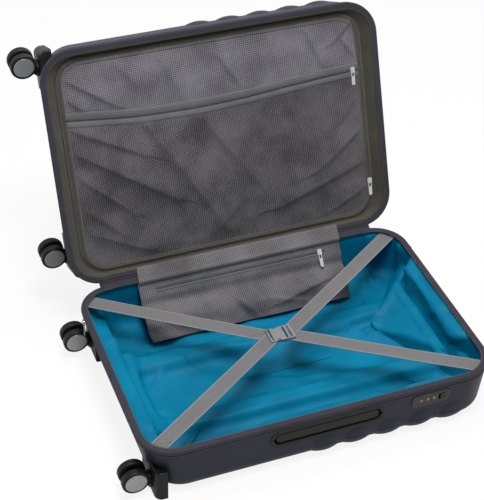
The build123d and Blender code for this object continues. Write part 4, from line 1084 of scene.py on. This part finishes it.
def flap_wave(x, t):
    """Height of the broad folds of the flap: flat at the top, fullest at the hem."""
    swell = np.interp(t, [0, 0.3, 0.7, 1.0], [0.05, 0.15, 3.0, FLAP_WAVE_H])
    phase = (x + FLAP_HALF) / (2 * FLAP_HALF) * FLAP_WAVES * math.pi
    p = np.stack([x, t * FLAP_LEN, np.zeros_like(x)], axis=-1)
    small = 2.4 * noise(p * [1.0, 0.55, 1.0], 42, 41) + 1.1 * noise(p, 19, 42)
    sway = 1 + 0.5 * noise(p * [1.0, 0.0, 0.0], 90, 43)
    belly = 5.5 * np.exp(-(((t - 0.7) / 0.15) ** 2)) * sway - 4.5 * np.exp(-(((t - 0.4) / 0.1) ** 2)) * sway
    crease = flat_pleats(p, FLAP_FOLDS)
    return swell * np.sin(phase) + (small + crease) * smooth_step(t, 0.22, 0.75) + belly * smooth_step(t, 0.2, 0.35)


def flap_points(x, t):
    """Place of the flap cloth at x and at the share t of its drop."""
    height = flap_wave(x, t) + 0.9
    drop = t * FLAP_LEN
    curl = smooth_step(t, 0.8, 1.0) * smooth_step(-x, 120, 213)
    p = np.array([0, FLAP_Y, FLAP_Z]) + FLAP_DOWN * drop[..., None] + FLAP_OUT * (height + 7.0 * curl)[..., None]
    p[..., 0] += x + 5.0 * curl
    return p


cols, drops = np.linspace(-FLAP_HALF, FLAP_HALF, 150), np.linspace(0.0, 1.0, 56)
x, t = np.meshgrid(cols, drops, indexing="ij")
uv = np.stack([x / 1000, t * FLAP_LEN / 1000], axis=-1)
flap_cloth = grid_object("pocket_flap_cloth", flap_points(x, t), uv)
lay_cloth(flap_cloth, FLAP_THICK, 0.0, FLAP, *ON_FLAP, "pocket_flap")


def flap_line(x, t, over):
    """A line over the flap cloth, where x or t is one number."""
    x, t = np.broadcast_arrays(x, t)
    return flap_points(x, t) + FLAP_OUT * over


lines = [flap_line(cols, share, 0.6) for share in (0.955, 0.985)]
lines += [flap_line(side, drops, 0.6) for side in (-FLAP_HALF + 4, FLAP_HALF - 4)]
lines += [flap_line(cols[14:-14], (FLAP_ZIP_RUN + beside) / FLAP_LEN, 1.5) for beside in (-5.6, 5.6)]
rows = [seam(line, FLAP_OUT) for line in lines]
flap_sewn = row_along("pocket_flap_stitches", rows, FLAP_STITCH, THREAD_GREY, *ON_FLAP)
zip_x = np.linspace(-178, 178, 110)
offsets = np.array([-7.0, -6.7, -4.5, -2.4, -1.9, 1.9, 2.4, 4.5, 6.7, 7.0])
rise = np.array([0.4, 0.8, 0.85, 0.85, 0.4, 0.4, 0.85, 0.85, 0.8, 0.4])
x = np.broadcast_to(zip_x[:, None], (len(zip_x), len(offsets)))
t = np.broadcast_to((FLAP_ZIP_RUN + offsets)[None] / FLAP_LEN, x.shape)
p = flap_points(x, t) + FLAP_OUT * rise[None, :, None]
uv = np.stack([x / 1000, t * FLAP_LEN / 1000], axis=-1)
flap_tape = grid_object("pocket_flap_zip_tape", p, uv)
lay_cloth(flap_tape, FLAP_ZIP_THICK, 0.0, ZIP_TAPE, *ON_FLAP)
coil_path = (flap_line(zip_x, FLAP_ZIP_RUN / FLAP_LEN, 1.1), FLAP_DOWN, FLAP_OUT, False)
flap_coil = row_along("pocket_flap_zip_coil", [coil_path], FLAP_COIL, COIL_GREY, *ON_FLAP)

bridge_line = [lid_yz(213.5, 112.0), lid_yz(215.0, 115.6), lid_yz(218.5, 117.0), (222.5, 118.0), (218.2, 117.0)]
bridge_line += [(215.8, 115.2), (215.3, 112.6), (215.6, 109.6), (216.3, 106.2)]


def bridge_puff(p, t):
    return 0.8 * noise(p * [1.0, 0.3, 0.3], 34, 51) * np.sin(np.pi * t)


bridge = yz_sheet("pocket_flap_top_cloth", bridge_line, (208, 213), (216, 213), 120, bridge_puff)
lay_cloth(bridge, FLAP_TOP_THICK, 0.0, FLAP, None, "flap_grey")
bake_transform(bridge)

# ---------------------------------------------------------------- packing straps
STRAP_SECTION = [
    (-15.0, 0.0), (-14.8, 0.75), (-13.9, 0.95), (-12.8, 0.8), (-6, 0.72), (0, 0.72), (6, 0.72),
    (12.8, 0.8), (13.9, 0.95), (14.8, 0.75), (15.0, 0.0), (14.8, -0.75), (13.9, -0.85), (12.8, -0.72),
    (6, -0.7), (0, -0.7), (-6, -0.7), (-12.8, -0.72), (-13.9, -0.85), (-14.8, -0.75),
]  # fmt: skip


def strap_frame(a, b, share, seed):
    """Centre, side and up directions of a strap that runs from a to b, a little slack."""
    a, b = np.array(a, float), np.array(b, float)
    run = np.linalg.norm(b - a)
    ahead = (b - a) / run
    side = unit(np.cross([0, 0, 1.0], ahead))
    centre = a + (b - a) * share[:, None]
    loose = np.sin(np.pi * share)
    centre[:, 2] += -1.1 * loose + 0.35 * loose * noise(np.column_stack([share * run] * 3), 60, seed)
    twist = np.radians(2.5) * loose * noise(np.column_stack([share * run, share, share]), 130, seed + 3)
    up = np.cos(twist)[:, None] * np.array([0, 0, 1.0]) + np.sin(twist)[:, None] * side
    return centre, unit(np.cross(up, ahead)), up, run


def strap(name, a, b, seed, body, stands_for):
    """One band of webbing with its sewn ends, dressed."""
    share = np.linspace(0, 1, 90)
    centre, side, up, run = strap_frame(a, b, share, seed)
    section = np.array(STRAP_SECTION)
    p = centre[:, None] + side[:, None] * section[None, :, :1] + up[:, None] * section[None, :, 1:]
    along, across = share[:, None] * run / 1000, section[None, :, 0] / 1000
    uv = np.stack([np.broadcast_to(along, p.shape[:2]), np.broadcast_to(across, p.shape[:2])], axis=-1)
    band = grid_object(name, p, uv, wrap_v=True, flip=True)
    bm = bmesh.new()
    bm.from_mesh(band.data)
    bmesh.ops.holes_fill(bm, edges=[e for e in bm.edges if e.is_boundary])
    bmesh.ops.recalc_face_normals(bm, faces=bm.faces)
    bm.to_mesh(band.data)
    bm.free()
    dress(band, WEBBING, body, "webbing_grey", stands_for)
    rows = []
    near, far = np.array([9.0, 34.0]) / run
    for lo, hi in ((near, far), (1 - far, 1 - near)):
        s = np.linspace(lo, hi, 12)
        c, sd, u, _ = strap_frame(a, b, s, seed)
        for left, right in ((-11, -11), (11, 11), (-11, 11), (11, -11)):
            line = c + sd * np.linspace(left, right, 12)[:, None] + u * 0.95
            rows.append(seam(line, u))
        for end in (lo, hi):
            c, sd, u, _ = strap_frame(a, b, np.full(10, end), seed)
            line = c + sd * np.linspace(-11, 11, 10)[:, None] + u * 0.95
            rows.append(seam(line, u))
    return band, row_along(name + "_stitches", rows, STRAP_STITCH, THREAD_GREY, body, "webbing_grey")


LEFT_END, RIGHT_END = BUCKLE_X - BUCKLE_HALF + 7.0, BUCKLE_X + BUCKLE_HALF - 7.0
TOP_Z, LOW_Z = STRAP_TOP - 0.75, STRAP_TOP - 2.75
STRAPS = [
    ("strap_front_left", (-318.5, -205.5, TOP_Z), (LEFT_END, BUCKLE_Y - 3, TOP_Z), 61, "left_straps"),
    ("strap_back_left", (-318.5, 205.5, LOW_Z), (LEFT_END, BUCKLE_Y + 3, LOW_Z), 62, "left_straps"),
    ("strap_back_right", (320.0, 205.5, TOP_Z), (RIGHT_END, BUCKLE_Y + 3, TOP_Z), 63, "right_straps"),
    ("strap_front_right", (320.0, -205.5, LOW_Z), (RIGHT_END, BUCKLE_Y - 3, LOW_Z), 64, "right_straps"),
]
STRAP_BANDS = []
for name, a, b, seed, stands_for in STRAPS:
    loose = stands_for == "right_straps"
    band, sewn = strap(name, a, b, seed, None if loose else "base", stands_for)
    STRAP_BANDS.append((band, math.dist(a, b) / 1000, sewn))
    if loose:
        for piece in (band, sewn):
            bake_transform(piece)

# ---------------------------------------------------------------- cloth and webbing, cut flat
SHEETS = [
    (base_lining, (0.66, 0.88), "draped", ["base_zip_tape", "base_shell"], 0.53, []),
    (lid_lining, (0.66, 0.88), "draped", ["lid_zip_tape", "lid_shell"], 0.53, []),
    (panel_low, (0.605, 0.30), "stretched", ["panel_border_cloth"], None, [pocket_sewn]),
    (panel_high, (0.605, 0.125), "stretched", ["panel_border_cloth"], None, [hem]),
    (gusset, (0.032, 2.05), "stretched", ["lid_rim_tape"], None, []),
    (edge_tape, (0.013, 2.0), "stretched", ["panel_border_cloth"], None, [edge_coil, edge_sewn]),
    (pocket_tape, (0.03, 0.6), "stretched", ["panel_pocket_cloth", "panel_upper_cloth"], None, [pocket_coil]),
    (flap_cloth, (0.426, 0.127), "hung", ["pocket_flap_top_cloth"], None, [flap_sewn, flap_tape, flap_coil]),
    (bridge, (0.43, 0.041), "stretched", ["lid_rim_tape", "base_rim_tape"], None, []),
    (hinge_back, (0.52, 0.03), "folded", ["base_rim_tape", "lid_rim_tape"], None, []),
    (hinge_front, (0.572, 0.028), "folded", ["base_rim_tape", "lid_rim_tape"], None, []),
]
SHEETS += [(tape, (0.03, 2.15), "folded", [half + "_shell"], None, sewn) for half, tape, sewn in RIM_TAPES]
for band, length, sewn in STRAP_BANDS:
    SHEETS.append((band, (0.03, length), "stretched", ["base_shell", "buckle_plug"], None, [sewn]))


# ---------------------------------------------------------------- numbers on the lock dials
def digit_mesh(text, height):
    """The flat shape of one digit, centred, in metres."""
    curve = bpy.data.curves.new("digit", "FONT")
    curve.body, curve.size, curve.align_x, curve.align_y = text, height, "CENTER", "CENTER"
    curve.resolution_u = 3
    obj = bpy.data.objects.new("digit", curve)
    scene.collection.objects.link(obj)
    mesh = bpy.data.meshes.new_from_object(obj.evaluated_get(bpy.context.evaluated_depsgraph_get()))
    verts = np.array([v.co for v in mesh.vertices])
    faces = [tuple(f.vertices) for f in mesh.polygons]
    bpy.data.objects.remove(obj)
    return verts, faces


DIGIT_HEIGHT, DIGIT_OVER, DIAL_TURN = 0.0042, 0.00012, 12
for k in (1, 2, 3):
    dial = node[f"lock_dial_{k}"]
    corners = np.array([dial.matrix_world @ Vector(c) for c in dial.bound_box])
    middle, radius = (corners.min(0) + corners.max(0)) / 2, (corners.max(0) - corners.min(0))[2] / 2
    verts, faces = [], []
    for d in range(10):
        shape, polygons = digit_mesh(str(d), DIGIT_HEIGHT)
        a = math.radians(36 * (d - 2 * k) + DIAL_TURN)
        out = np.array([0, -math.cos(a), math.sin(a)])
        up = np.array([0, math.sin(a), math.cos(a)])
        n0 = len(verts)
        foot = middle + shape[:, :1] * np.array([1.0, 0, 0]) + shape[:, 1:2] * up
        verts += list(foot + out * (radius + DIGIT_OVER))
        faces += [tuple(n0 + i for i in f) for f in polygons]
    digits = make_object(f"dial_{k}_digits", np.array(verts) * 1000, faces, smooth=False)
    dress(digits, DIGIT, f"lock_dial_{k}", "dial_red")

# ---------------------------------------------------------------- camera, light and floor
# Yaw, pitch and roll in degrees, place in metres, lens in millimetres
CAMERA_TURN, CAMERA_AT, CAMERA_LENS = (22.083, 39.272, 2.030), (-0.81774, -1.80382, 1.92325), 102.84
camera = bpy.data.objects.new("camera", bpy.data.cameras.new("camera"))
scene.collection.objects.link(camera)
yaw, pitch, roll = (math.radians(a) for a in CAMERA_TURN)
ahead = Vector((math.sin(yaw) * math.cos(pitch), math.cos(yaw) * math.cos(pitch), -math.sin(pitch)))
right = Vector((math.cos(yaw), -math.sin(yaw), 0))
top = right.cross(ahead)
turned = math.cos(roll) * right + math.sin(roll) * top
top = math.cos(roll) * top - math.sin(roll) * right
facing = Matrix((turned, top, -ahead)).transposed().to_4x4()
camera.matrix_world = Matrix.Translation(CAMERA_AT) @ facing
camera.data.lens, camera.data.sensor_width = CAMERA_LENS, 36.0
camera.data.clip_start, camera.data.clip_end = 0.05, 50.0
scene.camera = camera
scene.view_settings.view_transform = "Standard"


def area_light(name, place, aim, width, power):
    lamp = bpy.data.lights.new(name, "AREA")
    lamp.shape, lamp.size, lamp.energy = "DISK", width, power
    obj = bpy.data.objects.new(name, lamp)
    scene.collection.objects.link(obj)
    obj.location = place
    obj.rotation_mode = "QUATERNION"
    obj.rotation_quaternion = (Vector(aim) - Vector(place)).to_track_quat("-Z", "Y")


area_light("key_light", (-0.15, -0.75, 3.15), (0.0, 0.1, 0.15), 0.9, 74)
area_light("fill_light", (2.2, -1.0, 2.0), (0.0, 0.1, 0.2), 1.8, 6)
area_light("top_light", (0.2, 0.7, 3.0), (0.0, 0.1, 0.1), 1.4, 42)

world = bpy.data.worlds.new("studio")
scene.world = world
world.use_nodes = True
net = Net(world.node_tree)
world.node_tree.nodes.clear()
sky = net.add("ShaderNodeBackground", Color=(1, 1, 1, 1))
seen = net.add("ShaderNodeLightPath")
direct = net.math("MAXIMUM", seen.outputs["Is Camera Ray"], seen.outputs["Is Glossy Ray"])
direct = net.math("MAXIMUM", direct, seen.outputs["Is Transmission Ray"])
net.put(sky.inputs["Strength"], net.span(direct, 0.0, 1.0, 0.17, 1.0))
net.put(net.add("ShaderNodeOutputWorld").inputs[0], sky.outputs[0])

floor = make_object("floor", [(-9000, -9000, 0), (9000, -9000, 0), (9000, 9000, 0), (-9000, 9000, 0)], [(0, 1, 2, 3)])
pale = bpy.data.materials.new("floor_pale")
pale.use_nodes = True
net = Net(pale.node_tree)
pale.node_tree.nodes.clear()
matte = net.add("ShaderNodeBsdfDiffuse", Color=(0.86, 0.86, 0.86, 1))
glow = net.add("ShaderNodeEmission", Color=(1, 1, 1, 1))
seen = net.add("ShaderNodeLightPath")
direct = net.math("MAXIMUM", seen.outputs["Is Camera Ray"], net.math("MULTIPLY", seen.outputs["Is Glossy Ray"], 0.4))
both = net.add("ShaderNodeMixShader")
net.put(both.inputs[0], net.math("MULTIPLY", direct, 0.88))
net.put(both.inputs[1], matte.outputs[0])
net.put(both.inputs[2], glow.outputs[0])
net.put(net.add("ShaderNodeOutputMaterial").inputs[0], both.outputs[0])
floor.data.materials.append(pale)
